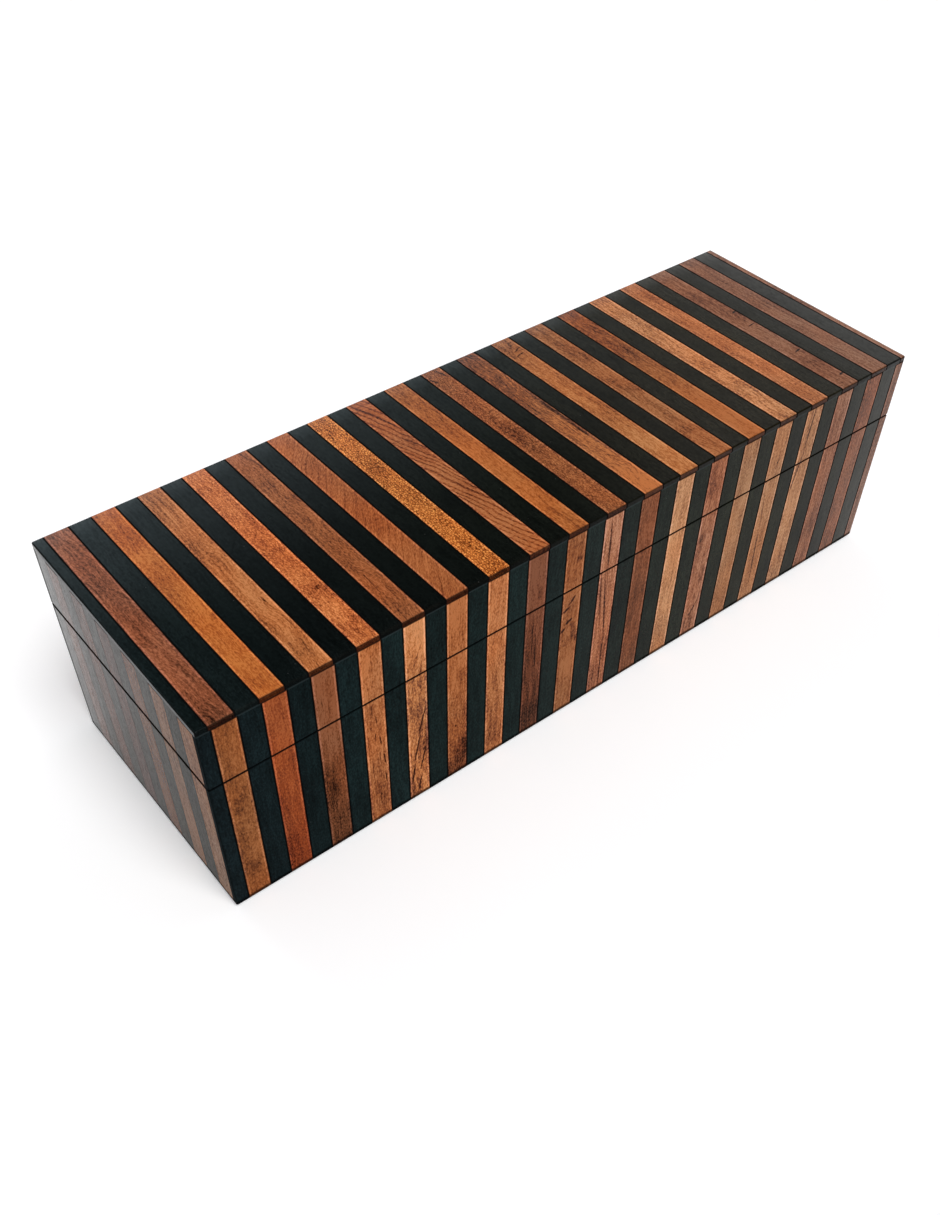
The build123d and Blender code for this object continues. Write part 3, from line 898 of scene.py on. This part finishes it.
RIGHT_STRIPS = tuple(BrownStrip(t) for t in (T.SALMON, T.MAHOGANY, T.ASH, T.WALNUT, T.CHERRY, T.TEAK))


@dataclass(frozen=True)
class Layout:
    """How the strips of a face lie, in millimetres.

    axes names the box's axes across the strips, along them and into the wood. middle is the strips'
    middle along them, and the half sizes are the face's, along the strips and across them.
    """

    axes: str
    brown_width: float
    middle: float
    half_length: float
    half_width: float
    dark_width: float = 8.0

    @property
    def pitch(self) -> float:
        """Distance from one brown strip to the next."""
        return self.dark_width + self.brown_width


TOP_LAYOUT = Layout("XYZ", 8.3, 0.0, half_length=HALF_DEPTH, half_width=HALF_LENGTH)
LONG_LAYOUT = Layout("XZY", 8.15, HALF_HEIGHT, half_length=HALF_HEIGHT, half_width=HALF_LENGTH)
SHORT_LAYOUT = Layout("YZX", 8.15, HALF_HEIGHT, half_length=HALF_HEIGHT, half_width=HALF_DEPTH)


@dataclass(frozen=True)
class StripFace:
    """One striped face of the box: how its strips lie, and what they are cut from."""

    name: str
    layout: Layout
    strips: tuple[BrownStrip, ...]
    lacquer: Lacquer
    seed: float

    def nodes(self, colour: str) -> list[str]:
        """Name the CAD nodes that hold this face's strips of one colour."""
        if self.name == "top":
            return [f"top_{colour}_strips"]
        return [f"{shell}_{self.name}_{colour}_strips" for shell in ("base", "lid")]

    def brown_start(self) -> float:
        """Give where the first brown strip starts across the face, in millimetres."""
        low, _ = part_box(self.nodes("brown")[0])
        return low["XYZ".index(self.layout.axes[0])] * TO_MM

    def brown_material(self) -> bpy.types.Material:
        """Make the brown strips' material.

        Returns:
            The material.
        """
        finish = StripFinish(self, "brown", self.brown_start())
        w, found = finish.wiring, finish.found
        share = w.math("DIVIDE", w.plus(found["Number"], 0.5), float(len(self.strips)))
        shades = zip(*(strip.shades() for strip in self.strips))
        body, light, dark = (w.ramp(share, stops) for stops in shades)
        looks = [tuple(strip.timber.value.figure().values()) for strip in self.strips]
        fibres, bands, rings = w.split(w.ramp(share, [look[:3] for look in looks]))
        mottle, pores, pebbles = w.split(w.ramp(share, [look[3:] for look in looks]))
        # A ramp holds no numbers below 0, so these two are kept about 0.5 and spread out again below.
        lies = [(0.5 + strip.slant / 2, 0.5 + strip.lean_and_shade / 2, 0.0) for strip in self.strips]
        slant, lean_and_shade = w.split(w.ramp(share, lies), "XY")

        figure = w.use(
            timber_figure(),
            Place=found["Place"],
            Fibres=fibres,
            Bands=bands,
            Rings=rings,
            Mottle=mottle,
            Pores=pores,
            Pebbles=pebbles,
            Slant=w.muladd(slant, 2.0, -1.0),
        )
        far = w.math("DIVIDE", w.minus(found["Along"], self.layout.middle), self.layout.half_length)
        # The lean shades each strip along its length: its own tone, and on the front painted shade.
        tone = finish.marked(w.muladd(far, w.muladd(lean_and_shade, 2.0, -1.0), figure["Tone"]))
        coloured = w.use(
            timber_colour(),
            Tone=tone,
            Hue=figure["Hue"],
            Pores=figure["Pores"],
            End=finish.end,
            Body=body,
            Light=light,
            Dark=dark,
        )["Color"]

        coloured = finish.worn(coloured, BROWN_WEAR)
        glued, rim = finish.glued(self.layout.brown_width, BROWN_WEAR)
        # Painted highlight: the rims are made paler, less on the sawn ends.
        rim = w.times(rim, w.fade(finish.end, 0.0, 1.0, self.lacquer.rim, 0.0))
        coloured = w.mix(rim, coloured, w.tinted(coloured, RIM_HIGHLIGHT_TINT))
        # Painted shade: the brown is darkened along the box's rounded edges.
        coloured = w.stained(coloured, found["Eased"], EDGE_SHADE, 0.45)
        # The joint mask paints the glue lines and also shade: the parting, the strips' feet and the line
        # under the top strips, all in the glue's colour.
        joint = w.greatest(glued, found["Parting"], found["Ledge"])
        finish.varies("Base Color", w.stained(coloured, joint, BROWN_WEAR.glue, BROWN_WEAR.glue_share))
        finish.coated(figure["Relief"], joint)
        return finish.material

    def dark_material(self) -> bpy.types.Material:
        """Make the dark strips' material.

        Returns:
            The material.
        """
        finish = StripFinish(self, "dark", self.brown_start() - self.layout.dark_width)
        w, found = finish.wiring, finish.found
        figure = w.use(timber_figure(), Place=found["Place"], **DARK_FIGURE)
        black = finish.over_face([linear(colour) for colour in self.lacquer.black])
        own = w.fade(w.split(found["Chance"])[0], 0.0, 1.0, 0.88, 1.12)
        black = w.tinted(black, w.join(own, own, own))
        coloured = w.use(
            timber_colour(),
            Tone=figure["Tone"],
            Pores=figure["Pores"],
            End=w.times(finish.end, 0.1),
            Body=black,
            Light=w.tinted(black, grey(1.7)),
            Dark=w.tinted(black, grey(0.6)),
        )["Color"]
        coloured = finish.worn(coloured, DARK_WEAR)
        # Painted highlight: a pale line along the line under the top strips.
        coloured = w.stained(coloured, found["Ledge"], DARK_LEDGE_HIGHLIGHT, 0.35)
        glued, _ = finish.glued(self.layout.dark_width, DARK_WEAR)
        # The joint mask paints the glue lines and also the shade of the parting and the strips' feet.
        joint = w.greatest(glued, found["Parting"])
        finish.varies("Base Color", w.stained(coloured, joint, DARK_WEAR.glue, DARK_WEAR.glue_share))
        finish.coated(figure["Relief"], joint)
        return finish.material


class StripFinish(Finish):
    """A material of one face's strips, which knows the strip under each point."""

    def __init__(self, face: StripFace, colour: str, start: float) -> None:
        """Start the material and find its strips.

        Args:
            face: The face.
            colour: The strips' colour: brown or dark.
            start: Where the first strip of that colour starts across the face, in millimetres.
        """
        lacquer, layout = face.lacquer, face.layout
        super().__init__(
            f"{face.name}_{colour}_strips",
            Specular_IOR_Level=lacquer.specular,
            Coat_Roughness=lacquer.coat_roughness,
        )
        self.face = face
        w = self.wiring
        place = w.place_in_mm()
        across, along, depth = w.split(place, layout.axes)
        self.found = {
            **w.use(
                strip_place(),
                Across=across,
                Along=along,
                Depth=depth,
                Start=start,
                Pitch=layout.pitch,
                Seed=face.seed,
            ),
            **w.use(handling(), Place=place, Reach=lacquer.parting_shade),
            "Box": place,
            "Across": across,
            "Along": along,
        }
        self.end = w.fade(w.facing(layout.axes[1]), 0.55, 0.8)

    def share(self) -> Socket:
        """Give how far across the face a point is, from 0 to 1."""
        return self.wiring.muladd(self.found["Across"], 0.5 / self.face.layout.half_width, 0.5)

    def over_face(self, stops: Sequence[Sequence[float]]) -> Socket:
        """Run a colour smoothly across the face, from its value at equal steps."""
        return self.wiring.ramp(self.share(), stops, blended=True)

    def marked(self, tone: Given) -> Socket:
        """Darken or lighten a tone by the marks of the face's strips.

        Args:
            tone: The tone of the wood without them.

        Returns:
            The tone with them.
        """
        w = self.wiring
        for number, strip in enumerate(self.face.strips):
            start = self.face.brown_start() + number * self.face.layout.pitch
            for mark in strip.marks:
                made = w.use(
                    wood_mark(),
                    Across=self.found["Across"],
                    Along=self.found["Along"],
                    Middle=(start + mark.across, mark.along, 0.0),
                    Reach=(mark.half_width, mark.half_length, 1.0),
                    Turn=math.radians(mark.turn),
                    Ragged=mark.ragged,
                )
                tone = w.muladd(made["Mask"], -mark.depth, tone)
                if mark.knot:
                    tone = w.muladd(made["Swirl"], -0.3, tone)
        return tone

    def worn(self, coloured: Given, wear: Wear) -> Socket:
        """Rub the edges of a colour paler and dust it."""
        w = self.wiring
        coloured = w.stained(coloured, self.found["Rubbed"], wear.rubbed, wear.rubbed_share)
        return w.stained(coloured, self.found["Dust"], wear.dust, wear.dust_share)

    def glued(self, width: float, wear: Wear) -> tuple[Socket, Socket]:
        """Find the glue lines at the strips' edges.

        Args:
            width: The strips' width in millimetres.
            wear: The wear of these strips.

        Returns:
            The masks of the lines and of the rims beside them, where a highlight is painted.
        """
        found = self.found
        edges = self.wiring.use(
            glue_line(), Edge=found["Edge"], Width=width, Place=found["Box"], Gap=wear.gap
        )
        return self.wiring.times(edges["Joint"], self.face.lacquer.glue), edges["Rim"]

    def coated(self, relief: Given, joint: Given) -> None:
        """Set how the lacquer over the strips shines.

        Args:
            relief: The relief of the wood under the lacquer.
            joint: The mask of the joints, which the lacquer doesn't bridge, with the painted shade lines.
        """
        w, found, lacquer, layout = self.wiring, self.found, self.face.lacquer, self.face.layout
        rough = w.muladd(found["Smear"], 0.1, lacquer.roughness)
        rough = w.muladd(found["Rubbed"], 0.12, rough)
        self.varies("Roughness", w.muladd(relief, -0.05, rough))

        coat = w.split(self.over_face([grey(coat) for coat in lacquer.coats]))[0]
        far = w.minus(found["Along"], layout.middle)
        rise = w.fade(far, layout.half_length - 10.0, layout.half_length + 2.0)
        coat = w.muladd(rise, lacquer.far_rise, coat)
        coat = w.times(coat, w.fade(relief, 0.1, 0.8, 1.0 - lacquer.uneven, 1.0 + lacquer.uneven))
        # The sawn ends drink the lacquer, the joints aren't bridged by it, and it is thin on the edges.
        bare_end = w.times(self.end, w.fade(self.share(), 0.3, 0.7, *lacquer.bare_ends))
        bare = w.greatest(w.times(joint, 0.95), bare_end, found["Eased"])
        self.varies("Coat Weight", w.times(coat, w.minus(1.0, bare)))
        self.bump(w.muladd(found["Ripple"], 0.8, relief), 0.03 * MM, 0.5)


def dress(node: str, material: bpy.types.Material) -> None:
    """Give a CAD node its material.

    Args:
        node: The node's name.
        material: The material.
    """
    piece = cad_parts[node]
    if not piece.material_slots:
        piece.data.materials.append(material)
    for held in piece.material_slots:
        held.material = material
    log.info("dressed %s in %s", node, material.name)


@dataclass(frozen=True)
class StripSkin:
    """The striped outer layer of the lid and the base."""

    faces: tuple[StripFace, ...] = (
        StripFace("top", TOP_LAYOUT, TOP_STRIPS, TOP_LACQUER, seed=11.0),
        StripFace("front", LONG_LAYOUT, FRONT_STRIPS, FRONT_LACQUER, seed=83.0),
        StripFace("back", LONG_LAYOUT, BACK_STRIPS, PLAIN_LACQUER, seed=157.0),
        StripFace("left", SHORT_LAYOUT, LEFT_STRIPS, LEFT_LACQUER, seed=211.0),
        StripFace("right", SHORT_LAYOUT, RIGHT_STRIPS, PLAIN_LACQUER, seed=307.0),
    )

    def build(self) -> None:
        """Dress every strip node."""
        for face in self.faces:
            for colour, material in (("brown", face.brown_material()), ("dark", face.dark_material())):
                for node in face.nodes(colour):
                    dress(node, material)


@dataclass(frozen=True)
class Carcass:
    """The plain pale walls and panels under the strips, painted dark away from the rim as shade for the
    gaps between the linings.
    """

    look: TimberLook = TimberLook(
        (198, 164, 124), (216, 188, 150), (164, 128, 92), 0.5, 0.4, 0.25, 0.15, 0.35
    )
    rays: Colour = (150, 106, 72)
    gap_shade: Colour = (34, 31, 30)
    lining_below_rim: float = 2.2

    def material(self, name: str, axes: str) -> bpy.types.Material:
        """Make the wood for pieces whose grain runs one way.

        Args:
            name: The material's name.
            axes: The box's axes across the grain, along it and through it.

        Returns:
            The material.
        """
        finish = Finish(name, Specular_IOR_Level=0.3)
        w = finish.wiring
        place = w.place_in_mm()
        turned = w.join(*w.split(place, axes))
        figure = w.use(timber_figure(), Place=turned, Slant=0.02, **self.look.figure())
        coloured = w.use(
            timber_colour(),
            Tone=figure["Tone"],
            Pores=figure["Pores"],
            End=w.fade(w.facing(axes[1]), 0.6, 0.8, 0.0, 0.35),
            Body=linear(self.look.body),
            Light=linear(self.look.light),
            Dark=linear(self.look.dark),
        )["Color"]
        rays = w.fade(w.noise(turned, (1.2, 0.5, 6.0), 1.0), 0.64, 0.74)
        coloured = w.stained(coloured, rays, self.rays, 0.35)
        # Painted shade: away from the rim the wood is made dark, so the gaps beside the linings read as
        # shade.
        from_seam = w.apart(w.split(place, "Z")[0], SEAM_HEIGHT)
        gap_shade_share = w.fade(from_seam, self.lining_below_rim, self.lining_below_rim + 0.3)
        coloured = w.mix(gap_shade_share, coloured, linear(self.gap_shade))
        finish.varies("Base Color", coloured)
        finish.varies("Roughness", w.muladd(figure["Relief"], -0.12, 0.62))
        finish.bump(figure["Relief"], 0.05 * MM, 0.6)
        return finish.material

    def build(self) -> None:
        """Dress the walls and panels."""
        long_wood = self.material("carcass_wood_long", "ZXY")
        short_wood = self.material("carcass_wood_short", "ZYX")
        panel_wood = self.material("carcass_wood_panel", "YXZ")
        walls = {"front": long_wood, "back": long_wood, "left": short_wood, "right": short_wood}
        for shell in ("base", "lid"):
            for side, wood in walls.items():
                dress(f"{shell}_{side}_wall", wood)
        for panel in ("base_bottom_panel", "lid_top_panel"):
            dress(panel, panel_wood)


@dataclass(frozen=True)
class PileCloth:
    """A short-piled cloth: velvet or felt."""

    name: str
    base: Colour
    brushed: Colour
    fluff: Colour
    tufts: float
    sheen: float
    depth: float
    sheen_tint: Colour = (205, 205, 214)

    def material(self) -> bpy.types.Material:
        """Make the cloth's material.

        Returns:
            The material.
        """
        finish = Finish(
            self.name,
            Specular_IOR_Level=0.12,
            Sheen_Weight=self.sheen,
            Sheen_Roughness=0.35,
            Sheen_Tint=linear(self.sheen_tint),
        )
        w = finish.wiring
        nap = w.use(cloth_nap(), Place=w.place_in_mm(), Tufts=self.tufts, Lay=(0.05, 0.08, 0.07))
        coloured = w.mix(nap["Brushed"], linear(self.base), linear(self.brushed))
        shade = w.fade(nap["Tuft"], 0.25, 0.75, 0.45, 1.6)
        coloured = w.tinted(coloured, w.join(shade, shade, shade))
        coloured = w.stained(coloured, nap["Fluff"], self.fluff, 0.25)
        finish.varies("Base Color", coloured)
        finish.varies("Roughness", w.fade(nap["Brushed"], 0.0, 1.0, 0.95, 0.8))
        finish.bump(nap["Tuft"], self.depth, 0.8)
        return finish.material


@dataclass(frozen=True)
class SoftPanel:
    """A thin piece of cloth over card or foam, pillowed a little and rolled over at its edges.

    It fills the box of the CAD node that it stands for, and faces one way out of it.
    """

    node: str
    body: str
    slot: str
    facing: tuple[float, float, float]
    crown: float
    rolled: float
    cells: tuple[int, int]
    sag: float = 0.05 * MM
    edge_fall: float = 6.0 * MM
    waves_to_a_metre: float = 45.0
    crown_shift: float = 9000.0

    def build(self, material: bpy.types.Material) -> tuple[bpy.types.Object, tuple[float, float]]:
        """Model the panel in place of its node.

        Args:
            material: The panel's cloth.

        Returns:
            The piece, and the width and length of its face in metres.
        """
        low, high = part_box(self.node)
        turn = Vector(self.facing).to_track_quat("Z", "Y")
        width, length, thickness = (abs(share) for share in turn.inverted() @ (high - low))

        mesh = bmesh.new()
        bmesh.ops.create_grid(mesh, x_segments=self.cells[0], y_segments=self.cells[1], size=0.5)
        bmesh.ops.scale(mesh, vec=(width, length, 1.0), verts=mesh.verts)
        bmesh.ops.translate(mesh, vec=(0.0, 0.0, -thickness / 2), verts=mesh.verts)
        face = bmesh.ops.extrude_face_region(mesh, geom=list(mesh.faces), use_keep_orig=True)
        raised = [item for item in face["geom"] if isinstance(item, bmesh.types.BMVert)]
        bmesh.ops.translate(mesh, vec=(0.0, 0.0, thickness), verts=raised)
        bmesh.ops.recalc_face_normals(mesh, faces=mesh.faces)
        rim = [edge for edge in mesh.edges if edge.calc_face_angle(0.0) > 1.0]
        bmesh.ops.bevel(
            mesh, geom=rim, offset=self.rolled, segments=3, profile=0.5, affect="EDGES", material=-1
        )
        # The crown and the length of the name give the panel its place in the noise.
        own_place = Vector((self.crown * self.crown_shift, 0.0, len(self.node)))
        for vert in mesh.verts:
            if vert.co.z < 0:
                continue
            inward = min(width / 2 - abs(vert.co.x), length / 2 - abs(vert.co.y))
            near = max(0.0, 1.0 - inward / self.edge_fall)
            uneven = noise.noise(vert.co * self.waves_to_a_metre + own_place)
            vert.co.z -= self.crown * near * near + self.sag * (0.5 + 0.5 * uneven)
        place = Matrix.Translation((low + high) / 2) @ turn.to_matrix().to_4x4()
        bmesh.ops.transform(mesh, matrix=place, verts=mesh.verts)
        bmesh.ops.recalc_face_normals(mesh, faces=mesh.faces)
        for part in mesh.faces:
            part.smooth = True

        piece = add_mesh(f"{self.node}_cloth", mesh, material)
        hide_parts(self.node)
        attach(piece, self.body)
        log.info("modelled %s, %.1f by %.1f mm", piece.name, width * TO_MM, length * TO_MM)
        return piece, (width, length)


@dataclass(frozen=True)
class Lining:
    """The velvet inside the box, and the felt under it."""

    velvet: PileCloth = PileCloth(
        "charcoal_velvet", (27, 27, 30), (40, 40, 44), (120, 118, 116), 1.1, sheen=0.5, depth=0.16 * MM
    )
    felt: PileCloth = PileCloth(
        "black_felt", (17, 17, 18), (25, 25, 26), (90, 88, 86), 1.6, sheen=0.25, depth=0.2 * MM
    )

    def build(self) -> None:
        """Model the pads, the wall linings and the felt."""
        velvet = self.velvet.material()
        for node, body, upward in (("base_floor_pad", "base", 1.0), ("lid_pad", "lid", -1.0)):
            facing = (0.0, 0.0, upward)
            panel = SoftPanel(node, body, "lining_velvet", facing, 0.5 * MM, 0.45 * MM, (96, 30))
            piece, _ = panel.build(velvet)
        inward = {
            "front": (0.0, 1.0, 0.0),
            "back": (0.0, -1.0, 0.0),
            "left": (1.0, 0.0, 0.0),
            "right": (-1.0, 0.0, 0.0),
        }
        for body in ("base", "lid"):
            for side, facing in inward.items():
                node = f"{body}_{side}_lining"
                panel = SoftPanel(node, body, "lining_velvet", facing, 0.3 * MM, 0.4 * MM, (60, 20))
                piece, flat = panel.build(velvet)
        under = SoftPanel(
            "underside_felt", "base", "underside_felt", (0.0, 0.0, -1.0), 0.0, 0.25 * MM, (90, 30), sag=0.0
        )
        piece, flat = under.build(self.felt.material())


@dataclass(frozen=True)
class Brass:
    """Satin brass, brushed along the hinge and a little tarnished."""

    polished: Colour = (214, 190, 134)
    tarnished: Colour = (170, 144, 94)
    bright: Colour = (236, 216, 168)
    brushing: tuple[float, float, float] = (0.25, 7.0, 7.0)

    def finish(self, name: str) -> Finish:
        """Make the brass.

        Args:
            name: The material's name.

        Returns:
            The finish, with the painted shade of its hollows still to come.
        """
        finish = Finish(name, Metallic=1.0)
        w = finish.wiring
        place = w.place_in_mm()
        brushed = w.noise(place, self.brushing, 3.0, 0.6)
        tarnish = w.fade(w.noise(place, (0.22, 0.3, 0.3), 5.0, 0.65), 0.42, 0.72)
        coloured = w.mix(w.times(tarnish, 0.5), linear(self.polished), linear(self.tarnished))
        coloured = w.mix(w.fade(brushed, 0.35, 0.65, 0.0, 0.25), coloured, linear(self.bright))
        finish.varies("Base Color", coloured)
        rough = w.muladd(brushed, 0.12, 0.2)
        finish.varies("Roughness", w.muladd(tarnish, 0.1, rough))
        finish.bump(brushed, 0.002 * MM, 0.5)
        return finish


@dataclass(frozen=True)
class Hinges:
    """The two stop hinges and their screws."""

    brass: Brass = Brass()
    screw_brass: Brass = Brass(polished=(206, 178, 120), brushing=(3.0, 3.0, 3.0))
    hollow_shade: Colour = (58, 42, 24)
    places: float = 95.0
    spacing: float = 16.0
    head_rim: tuple[float, float] = (1.5, 1.8)
    slot: tuple[float, float] = (0.25, 0.35)

    def screw_material(self) -> bpy.types.Material:
        """Make the screws' brass, with painted shade in the slots and round the heads.

        Returns:
            The material.
        """
        finish = self.screw_brass.finish("screw_brass")
        w = finish.wiring
        low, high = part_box("base_hinge_screws")
        x, y = w.split(w.place_in_mm(), "XY")
        from_hinge = w.minus(w.math("ABSOLUTE", x), self.places)
        from_screw = w.minus(w.math("ABSOLUTE", from_hinge), self.spacing / 2)
        aside = w.apart(y, (low.y + high.y) / 2 * TO_MM)
        rim = w.fade(w.length(w.join(from_screw, aside, 0.0)), *self.head_rim)
        dark = w.greatest(rim, w.fade(aside, *self.slot, 1.0, 0.0))
        # The brass is already wired to the shader, so its colour is taken up from there.
        brass = finish.shader.inputs["Base Color"].links[0].from_socket
        # Painted shade in the screw slots and round the heads.
        finish.varies("Base Color", w.stained(brass, dark, self.hollow_shade, 0.85))
        return finish.material

    def build(self) -> None:
        """Dress the leaves, pins and screws."""
        satin = self.brass.finish("hinge_brass").material
        for side in ("left", "right"):
            for part in ("base_leaf", "lid_leaf", "pin"):
                dress(f"{side}_hinge_{part}", satin)
        turned = self.screw_material()
        dress("base_hinge_screws", turned)
        dress("lid_hinge_screws", turned)


@dataclass(frozen=True)
class PhotoCamera:
    """The camera, placed by the box's corners in the photograph.

    The angles are in degrees. origin_seen is where it sees the middle of the box's underside, in
    millimetres to its right, down and ahead, and the focal length and the shift are in pixels.
    """

    azimuth: float = -38.973
    elevation: float = 49.297
    roll: float = -0.692
    origin_seen: tuple[float, float, float] = (11.73, -46.41, 477.33)
    focal: float = 1215.91
    shift_down: float = 133.0
    long_side: float = 1215.0
    sensor: float = 36.0

    def build(self) -> None:
        """Make the camera and let the scene use it."""
        roll = math.radians(self.roll)
        back = direction(self.azimuth, self.elevation)
        right = (-back).cross(Vector((0.0, 0.0, 1.0))).normalized()
        down = (-back).cross(right)
        rolled_right = math.cos(roll) * right + math.sin(roll) * down
        rolled_down = -math.sin(roll) * right + math.cos(roll) * down
        seen = Vector(self.origin_seen) * MM
        place = -(rolled_right * seen.x + rolled_down * seen.y - back * seen.z)
        turn = Matrix((rolled_right, -rolled_down, back)).transposed().to_4x4()

        data = bpy.data.cameras.new("photo_camera")
        data.sensor_width = self.sensor
        data.lens = self.focal * self.sensor / self.long_side
        data.shift_y = self.shift_down / self.long_side
        data.clip_start = 0.01
        camera = add_object("photo_camera", data)
        camera.matrix_world = Matrix.Translation(place) @ turn
        bpy.context.scene.camera = camera


@dataclass(frozen=True)
class Lamp:
    """One soft lamp, far off.

    azimuth and elevation say where it hangs, in degrees, level is its light on a face turned to it,
    against a plain 1, and breadth how wide it looks from the box, in degrees.
    """

    name: str
    azimuth: float
    elevation: float
    level: float
    breadth: float = 30.0

    def build(self) -> None:
        """Hang the lamp."""
        data = bpy.data.lights.new(self.name, "SUN")
        data.energy = self.level * math.pi
        data.angle = math.radians(self.breadth)
        lamp = add_object(self.name, data)
        lamp.rotation_mode = "QUATERNION"
        lamp.rotation_quaternion = direction(self.azimuth, self.elevation).to_track_quat("Z", "Y")


@dataclass(frozen=True)
class Studio:
    """A pale floor, a pale room and soft lamps at a plain level."""

    floor_size: float = 8.0
    floor_drop: float = 0.05 * MM
    seen_colour: float = 0.985
    seen_glow: float = 0.12
    bounce_colour: float = 0.42
    room_level: float = 0.3
    pane: Linear = (0.82, 1.0, 1.08, 1.0)
    ceiling: Linear = (0.03, 0.045, 0.045, 1.0)
    wall: Linear = (1.0, 0.98, 0.94, 1.0)
    lamps: tuple[Lamp, ...] = (
        Lamp("key", 0.0, 62.0, 0.64),
        Lamp("low_front", 0.0, 12.0, 0.14),
        Lamp("low_back", 180.0, 12.0, 0.3),
        Lamp("low_right", 90.0, 12.0, 0.2),
    )

    def seen(self, w: Wiring) -> Socket:
        """Tell rays that see the background from those that only light the box."""
        path = w.node("ShaderNodeLightPath")
        kinds = ("Is Camera Ray", "Is Glossy Ray", "Is Transmission Ray")
        return w.greatest(*(path.outputs[kind] for kind in kinds))

    def floor(self) -> None:
        """Lay the floor just under the box."""
        finish = Finish("pale_floor", Specular_IOR_Level=0.0, Emission_Strength=self.seen_glow)
        w = finish.wiring
        mottled = w.noise(w.place_in_mm(), (0.004, 0.004, 0.004), 3.0)
        pale = w.fade(mottled, 0.3, 0.7, self.seen_colour - 0.01, self.seen_colour + 0.01)
        finish.varies("Base Color", w.mix(self.seen(w), grey(self.bounce_colour), w.join(pale, pale, pale)))
        finish.varies("Roughness", w.fade(mottled, 0.3, 0.7, 0.85, 0.95))
        seen = w.node("ShaderNodeLightPath").outputs["Is Camera Ray"]
        finish.varies("Emission Color", w.mix(seen, grey(0.0), grey(1.0)))
        mesh = bmesh.new()
        bmesh.ops.create_grid(mesh, x_segments=4, y_segments=4, size=self.floor_size / 2)
        bmesh.ops.translate(mesh, vec=(0.0, 0.0, -self.floor_drop), verts=mesh.verts)
        floor = add_mesh("floor", mesh, finish.material)

    def room(self) -> None:
        """Light the box from all round, and show a pane, a pale wall and a dim ceiling in its shine."""
        world = bpy.data.worlds.new("room")
        world.use_nodes = True
        bpy.context.scene.world = world
        w = Wiring(world.node_tree)
        rightward, behind, height = w.split(w.node("ShaderNodeTexCoord").outputs["Generated"])
        above = w.muladd(w.math("ABSOLUTE", behind), -0.5, height)
        above = w.muladd(rightward, 0.1, above)
        shown = w.mix(w.fade(above, 0.225, 0.365), self.pane, self.ceiling)
        shown = w.mix(w.fade(rightward, 0.53, 0.7), shown, self.wall)
        straight = w.node("ShaderNodeLightPath").outputs["Is Camera Ray"]
        shown = w.mix(straight, shown, grey(1.0))
        even = (self.room_level, self.room_level, self.room_level * 1.04, 1.0)
        background = world.node_tree.nodes["Background"]
        w.feed(background.inputs["Color"], w.mix(self.seen(w), even, shown))

    def build(self) -> None:
        """Make the floor, the room and the lamps."""
        self.floor()
        self.room()
        for lamp in self.lamps:
            lamp.build()
        bpy.context.scene.view_settings.view_transform = "Standard"


def main() -> None:
    """Build the scene, one sub-assembly after another."""
    logging.basicConfig(level=logging.INFO, format="%(name)s: %(message)s")
    for part in (PhotoCamera(), Studio(), StripSkin(), Carcass(), Lining(), Hinges()):
        log.info("building %s", type(part).__name__)
        part.build()


if __name__ == "__main__":
    main()
